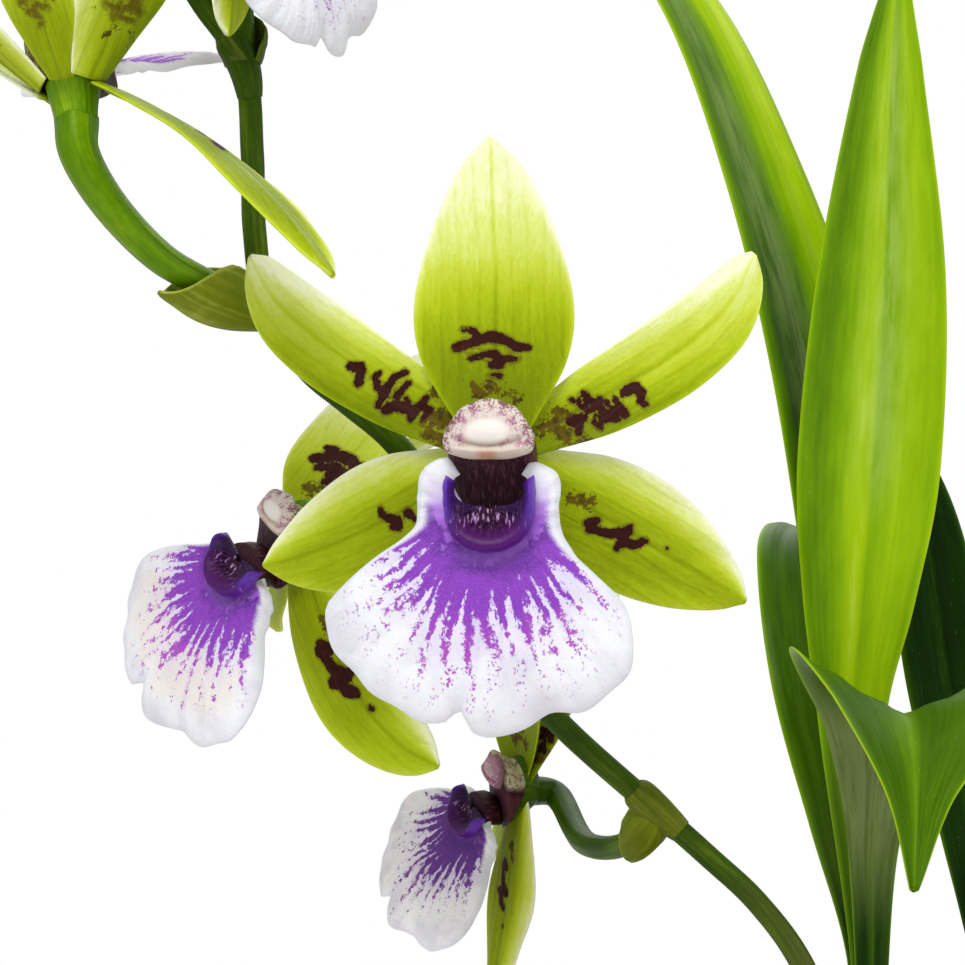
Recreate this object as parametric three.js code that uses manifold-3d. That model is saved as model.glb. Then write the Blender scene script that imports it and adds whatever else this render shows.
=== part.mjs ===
// Potted zygodisanthus orchid in bloom. Millimetres, +Z up, centre of the pot's underside at the origin.
import * as THREE from "three";
import { mergeVertices } from "three/addons/utils/BufferGeometryUtils.js";
import Module from "manifold-3d";

// Pot and bark mix
const POT_HEIGHT = 104;
const POT_FOOT_RADIUS = 42;
const POT_RIM_RADIUS = 60;
const POT_RIM_HEIGHT = 20;
const POT_RIM_STEP = 4;
const POT_WALL = 5;
const POT_FLOOR = 7;
const POT_EDGE = 1.5;
const POT_SIDES = 48;
const DRAIN_HOLES = 4;
const DRAIN_RADIUS = 5;
const DRAIN_CIRCLE = 24;
const DRAIN_SIDES = 16;
const BARK_LEVEL = 94;
const BARK_CROWN = 2;
const BARK_SIDES = 36;
const CHIPS = 26;
const CHIP_REACH = 42.5;
const CHIP_SIZE = [13, 9, 5];
const CHIP_GROWTH = [0.45, 1.15];
const CHIP_TILT = 17;
const CHIP_TURN = 53;
const CHIP_PACES = [1.7, 2.1, 2.3];
const GOLDEN_ANGLE = 137.5;

// Clearances
const FIT_GAP = 0.3;
const HOLE_GAP = 0.4;
const SLIVER = 0.02;
const WELD = 1e-4;

// Blooms
const DORSAL_LENGTH = 37;
const PETAL_LENGTH = 38.6;
const SEPAL_LENGTH = 35.5;
const TEPAL_THICKNESS = 0.8;
const TEPAL_ROWS = 7;
const TEPAL_COLUMNS = 4;
const TURN_POWER = 2.5;
const LIP_UNIT = 11.65;
const LIP_THICKNESS = 0.8;
const LIP_MIDDLE = -10;
const LIP_FRONT = 6;
const LIP_LEAN = 0.2;
const LIP_BEND = 0.006;
const LIP_ARCH = 0.004;
const LIP_SLOPE_BELOW = -13;
const LIP_OPENING = 133;
const LIP_THROAT = 1.5;
const LIP_SPOKES = 20;
const LIP_RINGS = 3;
const RUFFLE_DEPTH = 0.5;
const RUFFLES = 6;
const CALLUS_MIDDLE = -7.5;
const CALLUS_OPENING = 122;
const CALLUS_LIFT = 0.95;
const CALLUS_INNER = 0.12;
const CALLUS_SPOKES = 12;
const COLUMN_SIDES = 14;
const CLAW_SIDES = 10;

// Stem, leaves and pseudobulbs
const RACHIS_RADII = [2, 1.5, 1.6, 1.6, 1.5, 1.4];
const RACHIS_HOLE_RADIUS = 2.5;
const STEM_SIDES = 8;
const BRACT_SPAN = [0, 0.35, 0.7, 1];
const BRACT_FLARE = [0.9, 1.5, 1.4, 0.6];
const LEAF_THICKNESS = 0.9;
const LEAF_ROWS = 14;
const LEAF_COLUMNS = 4;
const BULB_SIDES = 14;
const SHEATH_WALL = 0.9;
const SHEATH_SIDES = 16;
const SHEATH_FOOT = [-6, 0.6, 0];

const FINISHES = {
  terracotta: { color: 0xb5694a, roughness: 0.85 },
  bark: { color: 0x6b4a33, roughness: 0.95 },
  bulb: { color: 0x86a33c, roughness: 0.45 },
  sheath: { color: 0x9a9a6a, roughness: 0.6 },
  leaf: { color: 0x4f8f12, roughness: 0.4 },
  stem: { color: 0x3f6b12, roughness: 0.45 },
  bud: { color: 0x8fb02c, roughness: 0.45 },
  tepal: { color: 0xa9c62f, roughness: 0.5 },
  lip: { color: 0xf0ecf6, roughness: 0.55 },
  callus: { color: 0x3f1170, roughness: 0.35 },
  column: { color: 0x3a0f1c, roughness: 0.45 },
  cap: { color: 0xeee3d6, roughness: 0.4 },
};

// Half widths of the tepals at fractions of their length
const DORSAL_WIDTH = [
  [0, 3.4], [0.12, 6.2], [0.24, 8.6], [0.37, 9.7], [0.51, 9.4],
  [0.66, 7.9], [0.81, 5.6], [0.92, 3.3], [1, 0.4],
];
const PETAL_WIDTH = [
  [0, 2.2], [0.15, 3.3], [0.3, 4.4], [0.45, 4.9], [0.6, 5.1],
  [0.75, 4.7], [0.87, 4], [0.95, 2.7], [1, 0.5],
];
const SEPAL_WIDTH = [
  [0, 2.6], [0.15, 4.8], [0.3, 6.8], [0.45, 7.6], [0.6, 7.3],
  [0.75, 5.9], [0.87, 4], [0.95, 2.3], [1, 0.4],
];

// Tepals of a bloom: angle from its top, turn of that angle by the tip, sweep and curl to the front
const TEPALS = {
  dorsal: {
    rows: DORSAL_WIDTH, base: [0, 0], length: DORSAL_LENGTH,
    angle: -1, turn: -2, sweep: -6, curl: 4, cup: 0.18,
  },
  petalRight: {
    rows: PETAL_WIDTH, base: [1.5, -0.5], length: PETAL_LENGTH,
    angle: 64, turn: -27, sweep: -9, curl: 3, cup: 0.1,
  },
  petalLeft: {
    rows: PETAL_WIDTH, base: [-1.5, -0.5], length: PETAL_LENGTH,
    angle: -60.5, turn: 17, sweep: -9, curl: 3, cup: 0.1,
  },
  sepalRight: {
    rows: SEPAL_WIDTH, base: [2, -3], length: SEPAL_LENGTH,
    angle: 121, turn: 2, sweep: -25, curl: 0, cup: -0.1,
  },
  sepalLeft: {
    rows: SEPAL_WIDTH, base: [-2, -3], length: SEPAL_LENGTH,
    angle: -119, turn: 16, sweep: -25, curl: 0, cup: -0.1,
  },
};

// Blooms: centre, facing and what differs in each from the tepals above
const BLOOMS = {
  front: { centre: [-55.7, -36, 210.1], yaw: 7, pitch: 0, roll: 0, size: 1 },
  left: {
    centre: [-81.1, 0, 199.2], yaw: 43, pitch: 14, roll: 33, size: 0.94,
    dorsal: { angle: -28, turn: 8, sweep: -22, curl: -16, broad: 1.12 },
    petalLeft: { angle: -48, turn: 36, sweep: -50, curl: -6 },
    petalRight: { angle: 64, turn: -6, sweep: 6, curl: 0, length: 36 },
    sepalRight: { angle: 127, turn: -48, sweep: -18, curl: -6, length: 38, broad: 1.1 },
    sepalLeft: { angle: -137, turn: -10, sweep: -40 },
  },
  lower: {
    centre: [-51.9, 24, 163.4], yaw: 60, pitch: 8, roll: 32, size: 0.78, lipSlope: 18,
    dorsal: { angle: -31, sweep: 6 },
    petalLeft: { angle: -72, turn: 8, sweep: -10 },
    petalRight: { angle: -11, turn: 4, sweep: -6, curl: -8 },
    sepalRight: { angle: 155, turn: -10, sweep: -8, curl: 12, length: 38 },
    sepalLeft: { angle: -152, sweep: -25 },
  },
  upper: {
    centre: [-107.9, -34, 253.4], yaw: 158, pitch: 74, roll: 32, size: 0.95,
    lipSlope: 25, lipBreadth: 0.8, outset: 2,
    dorsal: { angle: 0, sweep: 40, curl: 10, broad: 0.5 },
    petalLeft: { rows: SEPAL_WIDTH, angle: -58, turn: 0, sweep: 50, curl: 0, broad: 1.05 },
    petalRight: { angle: 60, turn: 0, sweep: 45 },
    sepalLeft: { angle: -74, turn: 12, sweep: -30, curl: -30, length: 47.5 },
    sepalRight: { angle: 108, turn: 0, sweep: 44 },
  },
  top: {
    centre: [-86.4, -31, 286.4], yaw: -62, pitch: 5, roll: -10, size: 0.86, lipSlope: 6,
    dorsal: { angle: 2 },
    petalLeft: { angle: -58, turn: 8, sweep: -12 },
    petalRight: { angle: 60, turn: -8, sweep: -12 },
    sepalLeft: { angle: -163, turn: 6, sweep: -4, curl: 0, length: 29 },
    sepalRight: { angle: 118, sweep: -20 },
  },
};

// Lip outline: degrees round from straight down, reach in units of LIP_UNIT
const LIP_REACH = [
  [-133, 0.86], [-112, 0.8], [-90, 0.74], [-75, 0.95], [-59, 1.54], [-46, 2],
  [-33, 2.13], [-16, 2.02], [-4, 2.17], [8.8, 1.95], [19.7, 2.17], [36.5, 2.2],
  [52, 2.1], [69, 1.26], [84, 0.76], [108, 0.78], [133, 0.86],
];

// Callus: degrees round from straight down and reach, then share of that reach and height
const CALLUS_REACH = [[-122, 6.2], [-90, 5.5], [-45, 5.9], [0, 5.9], [45, 5.9], [90, 5.5], [122, 6.2]];
const CALLUS_PROFILE = [[0.12, 1], [0.45, 1.3], [0.72, 2.6], [0.9, 2.4], [1, 1.1]];

// Round pieces of a bloom: height in front of its centre, half width, half height, middle
const RECEPTACLE = [
  [-3.7, 2.9, 2.9, -3],
  [-2, 4.1, 5.2, -2.9],
  [0, 4.8, 6.6, -2.9],
  [1.4, 4.6, 6.4, -3],
];
const LIP_CLAW = [
  [1.7, 2.2, 0.5, -9.1],
  [4, 2.6, 0.7, -9.4],
  [6, 2.8, 1.4, -10.2],
];
const COLUMN = [
  [1.7, 4.2, 4.9, -3.2],
  [3, 4.8, 4.5, -2.5],
  [4.5, 5.1, 3.9, -1.4],
  [6, 5.1, 3.2, -0.3],
  [7.2, 4.7, 2.7, 0.5],
];
const ANTHER_CAP = [
  [7.5, 5.1, 3.2, 1.1],
  [8.2, 5.5, 3.6, 1.2],
  [9.2, 5.1, 3.4, 1.3],
  [10.1, 3.9, 2.6, 1.4],
  [10.7, 1.8, 1.2, 1.4],
];

// Flowering stem, and the points of it that carry a bloom
const RACHIS = [
  [-3, -14.5, 84], [-5, -14, 106], [-9.5, -13, 124], [-15.8, -10, 142.3], [-21.6, -8, 150.3],
  [-27.6, -6, 155.8], [-34.4, -5, 161.8], [-47.6, -7, 173.8], [-53.2, -9, 180.9], [-58, -10, 191],
  [-62.9, -12, 202.1], [-69, -14, 210.5], [-74.7, -15, 215.3], [-79.5, -16.5, 219.3], [-84.6, -18, 226.6],
  [-86.2, -20, 237], [-86.3, -22, 246.4], [-87.3, -24, 257.2], [-92.3, -25, 264.7], [-96, -26, 270.5],
];
const NODES = { lower: 6, front: 8, left: 10, upper: 14, top: 17 };

// Flower stalks: points on the way to the bloom, radii, length of the bract at the foot
const STALKS = {
  lower: { through: [[-38.2, 2, 156.6], [-43.3, 13, 155.4]], radii: [1.5, 1.7, 2.1], bract: 7 },
  front: { through: [[-51.5, -14, 187], [-52.5, -19, 198]], radii: [1.5, 1.7, 2.3], bract: 6 },
  left: { through: [[-66, -4, 201], [-72, 4, 198]], radii: [1.5, 1.7, 2.3], bract: 6 },
  upper: {
    through: [[-92.2, -23.5, 229.9], [-97.3, -27, 232.8], [-103.4, -31, 239.4]],
    radii: [1.7, 2.1, 2.7], bract: 13,
  },
  top: { through: [[-88, -23, 266], [-90.5, -22, 275]], radii: [1.6, 1.8, 2.1], bract: 7 },
};
const STALK_END = [0, -3, -4];
const STALK_APPROACH = [0, -3, -8];

// Closed bud at the end of the stem
const BUD = {
  path: [[-96.5, -26.1, 271.3], [-98.2, -26.5, 274.5], [-100.4, -27, 278.5], [-102.2, -27.4, 282]],
  radii: [1.3, 2.7, 2.3, 0.4],
};

// Leaves: spine, half widths along it, direction across the blade at base and tip, depth of the fold
// at the base and, where it changes, at the tip
const LEAVES = {
  leaf_front: {
    spine: [
      [-6, -1, 121.5], [-6.2, -1, 140.6], [-8.4, -2, 174.7], [-7.6, -2, 189.3],
      [-6.1, 0, 206.7], [-4, 2, 233], [-2.4, 4, 262], [-1, 5, 277.4],
    ],
    widths: [2, 2.2, 4.7, 7.4, 9.5, 8.6, 4.2, 0.6],
    across: [[1, 0, 0], [1, 0, 0]],
    fold: 0.16,
  },
  leaf_behind_left: {
    spine: [
      [-6, 1.8, 121.5], [-5.8, 3, 140], [-7.3, 6.5, 175], [-12.1, 8, 219],
      [-20, 9, 247], [-29.7, 12, 270.7], [-44, 17, 289], [-68, 24, 294],
    ],
    widths: [2, 2.4, 5.5, 8.3, 8.6, 8, 6, 0.6],
    across: [[0.95, 0.3, 0], [0.5, 0.86, 0]],
    fold: 0.16,
  },
  leaf_arching_back: {
    spine: [
      [-6, 4.6, 121.5], [-5.6, 6.8, 140], [-8, 11.5, 158], [-10.4, 18, 178],
      [-9.8, 29, 193], [-5, 46, 197.5], [-1, 63, 188], [2, 79, 173],
    ],
    widths: [2, 2.4, 4.6, 7.4, 8.5, 7.8, 5.2, 0.6],
    across: [[1, 0.1, 0], [0.96, 0.26, 0]],
    fold: 0.14,
  },
  leaf_bent_over: {
    spine: [
      [-6, -4, 121.5], [-6, -4.4, 140.6], [-6, -7.5, 160], [-5.2, -12.5, 170.5],
      [-4.2, -20, 174.8], [-4.4, -28.5, 171.5], [-5.2, -36, 165], [-6.3, -42, 156.5],
    ],
    widths: [2.2, 2.2, 3.8, 8, 15, 11, 4, 0.6],
    across: [[1, 0, 0], [1, 0, -0.1]],
    fold: 0,
    tipFold: -0.95,
  },
  leaf_back_dark: {
    spine: [
      [13.5, 14, 131.5], [12.6, 17, 144], [10.4, 20, 160.4], [8.3, 21, 174.4],
      [6.2, 21, 188.5], [4.1, 22, 202.5], [0.6, 23, 216.6],
    ],
    widths: [2.2, 3.6, 5.6, 6.4, 6.2, 4.6, 0.6],
    across: [[0.95, 0.3, 0], [0.95, 0.3, 0]],
    fold: 0.16,
  },
  leaf_right: {
    spine: [
      [16.5, 11.5, 131.5], [21, 10, 148], [29, 7, 176], [38, 4, 203],
      [50, 0, 224], [66, -4, 234], [84, -8, 230],
    ],
    widths: [2.2, 4.2, 7.6, 8.8, 8.6, 6.4, 0.6],
    across: [[-0.25, -0.97, 0], [-0.1, -0.99, 0]],
    fold: 0.16,
  },
  leaf_far_right: {
    spine: [
      [15, 17, 131.5], [18, 24, 148], [23, 37, 174], [29, 52, 195],
      [37, 70, 206], [46, 88, 203], [55, 103, 190],
    ],
    widths: [2.2, 4.2, 7.6, 8.8, 8.4, 6.2, 0.6],
    across: [[0.9, -0.43, 0], [0.88, -0.47, 0]],
    fold: 0.16,
  },
};

// Pseudobulbs: where each stands, how far it is turned, and its height, half width and half depth
const BULBS = {
  pseudobulb_young: {
    foot: [-6, 0, 0],
    turn: 0,
    rings: [[86, 5, 4.5], [92, 9, 7.5], [100, 10.5, 8.5], [109, 9, 7.5], [116, 5.5, 5.8], [121.2, 3.6, 6.2]],
  },
  pseudobulb_ripe: {
    foot: [15, 14, 0],
    turn: 35,
    rings: [[84, 6, 5], [91, 11, 9], [102, 13, 10.5], [114, 11.5, 9.5], [124, 8, 6.5], [131.2, 4.6, 5]],
  },
  pseudobulb_old: {
    foot: [31, -10, 0],
    turn: 100,
    rings: [[84, 5, 5], [90, 10.5, 8.5], [100, 12.5, 9.5], [110, 10.5, 8], [117, 5.5, 4.5], [121, 2, 2]],
  },
};

// Sheath that clasps the young leaves: height, half width and half depth inside
const SHEATH = [[113, 7.9, 7.4], [118, 5.4, 6.9], [124, 3.8, 7.4], [134, 3.8, 8.3]];

const wasm = await Module();
wasm.setup();
const { Manifold } = wasm;
const vec = (x, y, z) => new THREE.Vector3(x, y, z);
const vecs = (rows) => rows.map((row) => vec(...row));
const degrees = THREE.MathUtils.degToRad;
const spread = (values) => values.map((value, k) => [k / (values.length - 1), value]);
const root = new THREE.Group();

// Solids and meshes
function manifold(positions, indices) {
  return new Manifold(new wasm.Mesh({ numProp: 3, vertProperties: positions, triVerts: indices }));
}

function solid(points, triangles) {
  const positions = new Float32Array(points.flatMap((p) => [p.x, p.y, p.z]));
  const made = manifold(positions, new Uint32Array(triangles.flat()));
  if (made.volume() > 0) return made;
  return manifold(positions, new Uint32Array(triangles.flatMap(([a, b, c]) => [a, c, b])));
}

function solidOf(geometry) {
  geometry.deleteAttribute("normal");
  geometry.deleteAttribute("uv");
  const merged = mergeVertices(geometry, WELD);
  return manifold(merged.getAttribute("position").array, new Uint32Array(merged.index.array));
}

function addMesh(parent, name, body, finish) {
  const { vertProperties, triVerts } = body.simplify(SLIVER).getMesh();
  const geometry = new THREE.BufferGeometry();
  geometry.setAttribute("position", new THREE.BufferAttribute(new Float32Array(vertProperties), 3));
  geometry.setIndex(new THREE.BufferAttribute(new Uint32Array(triVerts), 1));
  geometry.computeVertexNormals();
  const mesh = new THREE.Mesh(geometry, new THREE.MeshStandardMaterial(finish));
  mesh.name = name;
  parent.add(mesh);
}

function ellipseRing(halfWidth, halfHeight, middle, z, sides) {
  return Array.from({ length: sides }, (_, k) => {
    const turn = (2 * Math.PI * k) / sides;
    return vec(halfWidth * Math.cos(turn), middle + halfHeight * Math.sin(turn), z);
  });
}

// Joins rings of points into a closed body with flat ends
function loft(rings) {
  const count = rings[0].length;
  const points = rings.flat();
  const triangles = [];
  for (let i = 0; i + 1 < rings.length; i++) {
    for (let j = 0; j < count; j++) {
      const a = i * count + j;
      const b = i * count + ((j + 1) % count);
      triangles.push([a, b, b + count], [a, b + count, a + count]);
    }
  }
  const ends = [[rings[0], 0], [rings.at(-1), points.length - count]];
  for (const [ring, first] of ends) {
    const centre = ring.reduce((sum, p) => sum.add(p), vec(0, 0, 0)).divideScalar(count);
    const middle = points.push(centre) - 1;
    for (let j = 0; j < count; j++) {
      const a = first + j;
      const b = first + ((j + 1) % count);
      triangles.push(first ? [a, b, middle] : [b, a, middle]);
    }
  }
  return solid(points, triangles);
}

const roundBody = (rows, sides) => loft(rows.map(([z, rx, ry, y]) => ellipseRing(rx, ry, y, z, sides)));

// Thickens a grid of surface points into a closed blade whose two faces split alike
function blade(grid, thickness) {
  const rows = grid.length;
  const columns = grid[0].length;
  const points = [];
  for (const side of [thickness / 2, -thickness / 2]) {
    for (let i = 0; i < rows; i++) {
      for (let j = 0; j < columns; j++) {
        const ahead = grid[Math.min(i + 1, rows - 1)][j];
        const behind = grid[Math.max(i - 1, 0)][j];
        const right = grid[i][Math.min(j + 1, columns - 1)];
        const left = grid[i][Math.max(j - 1, 0)];
        const normal = right.clone().sub(left).cross(ahead.clone().sub(behind)).normalize();
        points.push(grid[i][j].clone().addScaledVector(normal, side));
      }
    }
  }
  const half = rows * columns;
  const triangles = [];
  for (let i = 0; i + 1 < rows; i++) {
    for (let j = 0; j + 1 < columns; j++) {
      const a = i * columns + j;
      const b = a + 1;
      const c = a + columns;
      const d = c + 1;
      const split = j < (columns - 1) / 2 ? [[a, b, d], [a, d, c]] : [[a, b, c], [b, d, c]];
      for (const [p, q, r] of split) triangles.push([p, q, r], [p + half, r + half, q + half]);
    }
  }
  const rim = [];
  for (let j = 0; j < columns; j++) rim.push(j);
  for (let i = 1; i < rows; i++) rim.push(i * columns + columns - 1);
  for (let j = columns - 2; j >= 0; j--) rim.push((rows - 1) * columns + j);
  for (let i = rows - 2; i > 0; i--) rim.push(i * columns);
  rim.forEach((a, k) => {
    const b = rim[(k + 1) % rim.length];
    triangles.push([a, b + half, b], [a, a + half, b + half]);
  });
  return solid(points, triangles);
}

// Smooth value at t from [t, value] rows
function sample(rows, t) {
  let k = 0;
  while (k < rows.length - 2 && t > rows[k + 1][0]) k++;
  const slope = (i) => {
    const before = rows[Math.max(i - 1, 0)];
    const after = rows[Math.min(i + 1, rows.length - 1)];
    return (after[1] - before[1]) / (after[0] - before[0]);
  };
  const [t0, v0] = rows[k];
  const [t1, v1] = rows[k + 1];
  const width = t1 - t0;
  const u = (t - t0) / width;
  const ease = u * u * (3 - 2 * u);
  const bulge = u * (1 - u) * ((1 - u) * slope(k) - u * slope(k + 1)) * width;
  return v0 + (v1 - v0) * ease + bulge;
}

// A round-section body along a smooth path, its radius sampled from radii spread along it
function tube(path, radii, stepsPerSpan) {
  const curve = new THREE.CatmullRomCurve3(path);
  const steps = (path.length - 1) * stepsPerSpan;
  const rows = spread(radii);
  const rings = [];
  let normal = vec(1, 0, 0);
  for (let i = 0; i <= steps; i++) {
    const t = i / steps;
    const tangent = curve.getTangent(t);
    normal = normal.clone().addScaledVector(tangent, -normal.dot(tangent)).normalize();
    const binormal = tangent.clone().cross(normal);
    const radius = sample(rows, t);
    const ring = ellipseRing(radius, radius, 0, 0, STEM_SIDES).map((p) =>
      curve.getPoint(t).addScaledVector(normal, p.x).addScaledVector(binormal, p.y),
    );
    rings.push(ring);
  }
  return loft(rings);
}

function lathe(profile, sides) {
  const outline = profile.map(([radius, z]) => new THREE.Vector2(radius, z));
  return solidOf(new THREE.LatheGeometry(outline, sides).rotateX(Math.PI / 2));
}

// A bloom's own frame: x to its right, y to its top, z out of its face
function bloomFrame({ centre, yaw, pitch, roll, size }) {
  const a = degrees(yaw);
  const b = degrees(pitch);
  const c = degrees(roll);
  const face = vec(-Math.sin(a) * Math.cos(b), -Math.cos(a) * Math.cos(b), Math.sin(b));
  const level = vec(Math.cos(a), -Math.sin(a), 0);
  const upright = face.clone().cross(level);
  const right = level.clone().multiplyScalar(Math.cos(c)).addScaledVector(upright, -Math.sin(c));
  const top = upright.clone().multiplyScalar(Math.cos(c)).addScaledVector(level, Math.sin(c));
  const frame = new THREE.Matrix4().makeBasis(right, top, face);
  return frame.scale(vec(size, size, size)).setPosition(...centre);
}

function tepal(form, outset = 0) {
  const grid = [];
  const spot = vec(...form.base, 0);
  for (let i = 0; i <= TEPAL_ROWS; i++) {
    const t = i / TEPAL_ROWS;
    const angle = degrees(form.angle + form.turn * t ** TURN_POWER);
    const lift = degrees(form.sweep + form.curl * t);
    const outward = vec(Math.sin(angle), Math.cos(angle), 0);
    const along = outward.clone().multiplyScalar(Math.cos(lift)).setZ(Math.sin(lift));
    if (i === 0) spot.addScaledVector(outward, outset);
    else spot.addScaledVector(along, form.length / TEPAL_ROWS);
    const across = vec(Math.cos(angle), -Math.sin(angle), 0);
    const normal = across.clone().cross(along);
    const reach = (form.broad ?? 1) * sample(form.rows, t);
    const row = [];
    for (let j = 0; j <= TEPAL_COLUMNS; j++) {
      const s = (2 * j) / TEPAL_COLUMNS - 1;
      const rise = form.cup * reach * s * s;
      row.push(spot.clone().addScaledVector(across, s * reach).addScaledVector(normal, rise));
    }
    grid.push(row);
  }
  return blade(grid, TEPAL_THICKNESS);
}

// Height of the lip's face: it leans forward going down and arches across
function lipHeight(x, y, slope) {
  const down = Math.max(0, LIP_MIDDLE - y);
  const below = Math.max(0, LIP_SLOPE_BELOW - y);
  const lean = LIP_LEAN * down - LIP_BEND * down ** 2 + below * Math.tan(degrees(slope));
  return LIP_FRONT + lean - LIP_ARCH * x ** 2;
}

function lip(slope, breadth) {
  const grid = [];
  for (let i = 0; i <= LIP_SPOKES; i++) {
    const turn = THREE.MathUtils.lerp(-LIP_OPENING, LIP_OPENING, i / LIP_SPOKES);
    const reach = LIP_UNIT * sample(LIP_REACH, turn);
    const ruffle = RUFFLE_DEPTH * (Math.sin(degrees(turn * RUFFLES)) - 1);
    const row = [];
    for (let j = 0; j <= LIP_RINGS; j++) {
      const r = THREE.MathUtils.lerp(LIP_THROAT, reach, j / LIP_RINGS);
      const x = -r * breadth * Math.sin(degrees(turn));
      const y = LIP_MIDDLE - r * Math.cos(degrees(turn));
      row.push(vec(x, y, lipHeight(x, y, slope) + (j === LIP_RINGS ? ruffle : 0)));
    }
    grid.push(row);
  }
  return blade(grid, LIP_THICKNESS).add(roundBody(LIP_CLAW, CLAW_SIDES));
}

// Fleshy horseshoe ridge on the lip, open towards the column
function callus(slope) {
  const rings = [];
  for (let i = 0; i <= CALLUS_SPOKES; i++) {
    const turn = THREE.MathUtils.lerp(-CALLUS_OPENING, CALLUS_OPENING, i / CALLUS_SPOKES);
    const reach = sample(CALLUS_REACH, turn);
    const at = ([share, height]) => {
      const x = -reach * share * Math.sin(degrees(turn));
      const y = CALLUS_MIDDLE - reach * share * Math.cos(degrees(turn));
      return vec(x, y, lipHeight(x, y, slope) + CALLUS_LIFT + height);
    };
    rings.push([...CALLUS_PROFILE, [1, 0], [CALLUS_INNER, 0]].map(at));
  }
  return loft(rings);
}

for (const [name, bloom] of Object.entries(BLOOMS)) {
  const group = new THREE.Group();
  bloomFrame(bloom).decompose(group.position, group.quaternion, group.scale);
  const { lipSlope = 0, lipBreadth = 1, outset } = bloom;
  const tepals = Object.entries(TEPALS).map(([key, form]) => tepal({ ...form, ...bloom[key] }, outset));
  const whorl = Manifold.union([roundBody(RECEPTACLE, COLUMN_SIDES), ...tepals]);
  addMesh(group, name + "_bloom_tepals", whorl, FINISHES.tepal);
  addMesh(group, name + "_bloom_lip", lip(lipSlope, lipBreadth), FINISHES.lip);
  addMesh(group, name + "_bloom_callus", callus(lipSlope), FINISHES.callus);
  addMesh(group, name + "_bloom_column", roundBody(COLUMN, COLUMN_SIDES), FINISHES.column);
  addMesh(group, name + "_bloom_anther_cap", roundBody(ANTHER_CAP, COLUMN_SIDES), FINISHES.cap);
  root.add(group);
}

// A flower stalk from the stem to the back of its bloom, with a bract round its foot
function stalk(name) {
  const { through, radii, bract } = STALKS[name];
  const frame = bloomFrame(BLOOMS[name]);
  const [approach, end] = vecs([STALK_APPROACH, STALK_END]).map((p) => p.applyMatrix4(frame));
  const path = [...vecs([RACHIS[NODES[name]], ...through]), approach, end];
  const curve = new THREE.CatmullRomCurve3(path);
  const bractPath = BRACT_SPAN.map((t) => curve.getPointAt((t * bract) / curve.getLength()));
  const bractRadii = BRACT_FLARE.map((flare) => radii[0] + flare);
  return tube(path, radii, 2).add(tube(bractPath, bractRadii, 1));
}

const stem = Manifold.union([tube(vecs(RACHIS), RACHIS_RADII, 1), ...Object.keys(STALKS).map(stalk)]);
addMesh(root, "flower_stem", stem, FINISHES.stem);
addMesh(root, "end_bud", tube(vecs(BUD.path), BUD.radii, 2), FINISHES.bud);

function leaf({ spine, widths, across, fold, tipFold = fold }) {
  const curve = new THREE.CatmullRomCurve3(vecs(spine));
  const rows = spread(widths);
  const [acrossBase, acrossTip] = vecs(across);
  const grid = [];
  for (let i = 0; i <= LEAF_ROWS; i++) {
    const t = i / LEAF_ROWS;
    const tangent = curve.getTangent(t);
    const sideways = acrossBase.clone().lerp(acrossTip, t);
    sideways.addScaledVector(tangent, -sideways.dot(tangent)).normalize();
    const normal = sideways.clone().cross(tangent);
    const reach = sample(rows, t);
    const depth = fold + (tipFold - fold) * t;
    const row = [];
    for (let j = 0; j <= LEAF_COLUMNS; j++) {
      const s = (2 * j) / LEAF_COLUMNS - 1;
      const spot = curve.getPoint(t).addScaledVector(sideways, s * reach);
      row.push(spot.addScaledVector(normal, depth * reach * Math.abs(s)));
    }
    grid.push(row);
  }
  return blade(grid, LEAF_THICKNESS);
}

for (const [name, form] of Object.entries(LEAVES)) addMesh(root, name, leaf(form), FINISHES.leaf);

function pseudobulb({ foot, turn, rings }, gap = 0) {
  const rows = rings.map(([z, rx, ry], k) => [k ? z : z - gap, rx + gap, ry + gap, 0]);
  return roundBody(rows, BULB_SIDES).rotate([0, 0, turn]).translate(foot);
}

for (const [name, form] of Object.entries(BULBS)) addMesh(root, name, pseudobulb(form), FINISHES.bulb);

function sheath() {
  const shell = (grow, overrun) => {
    const rows = SHEATH.map(([z, rx, ry], k) => [k ? z + overrun : z - overrun, rx + grow, ry + grow, 0]);
    return roundBody(rows, SHEATH_SIDES);
  };
  return shell(SHEATH_WALL, 0).subtract(shell(0, SLIVER)).translate(SHEATH_FOOT);
}
addMesh(root, "leaf_sheath", sheath(), FINISHES.sheath);

// Clay pot with a stepped rim and drain holes round the middle of its floor
const rimFoot = POT_HEIGHT - POT_RIM_HEIGHT;
const wallTop = POT_RIM_RADIUS - POT_RIM_STEP;
const wallRadius = (z) => THREE.MathUtils.lerp(POT_FOOT_RADIUS, wallTop, z / rimFoot);
const innerRadius = (z) => wallRadius(z) - POT_WALL;

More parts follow.
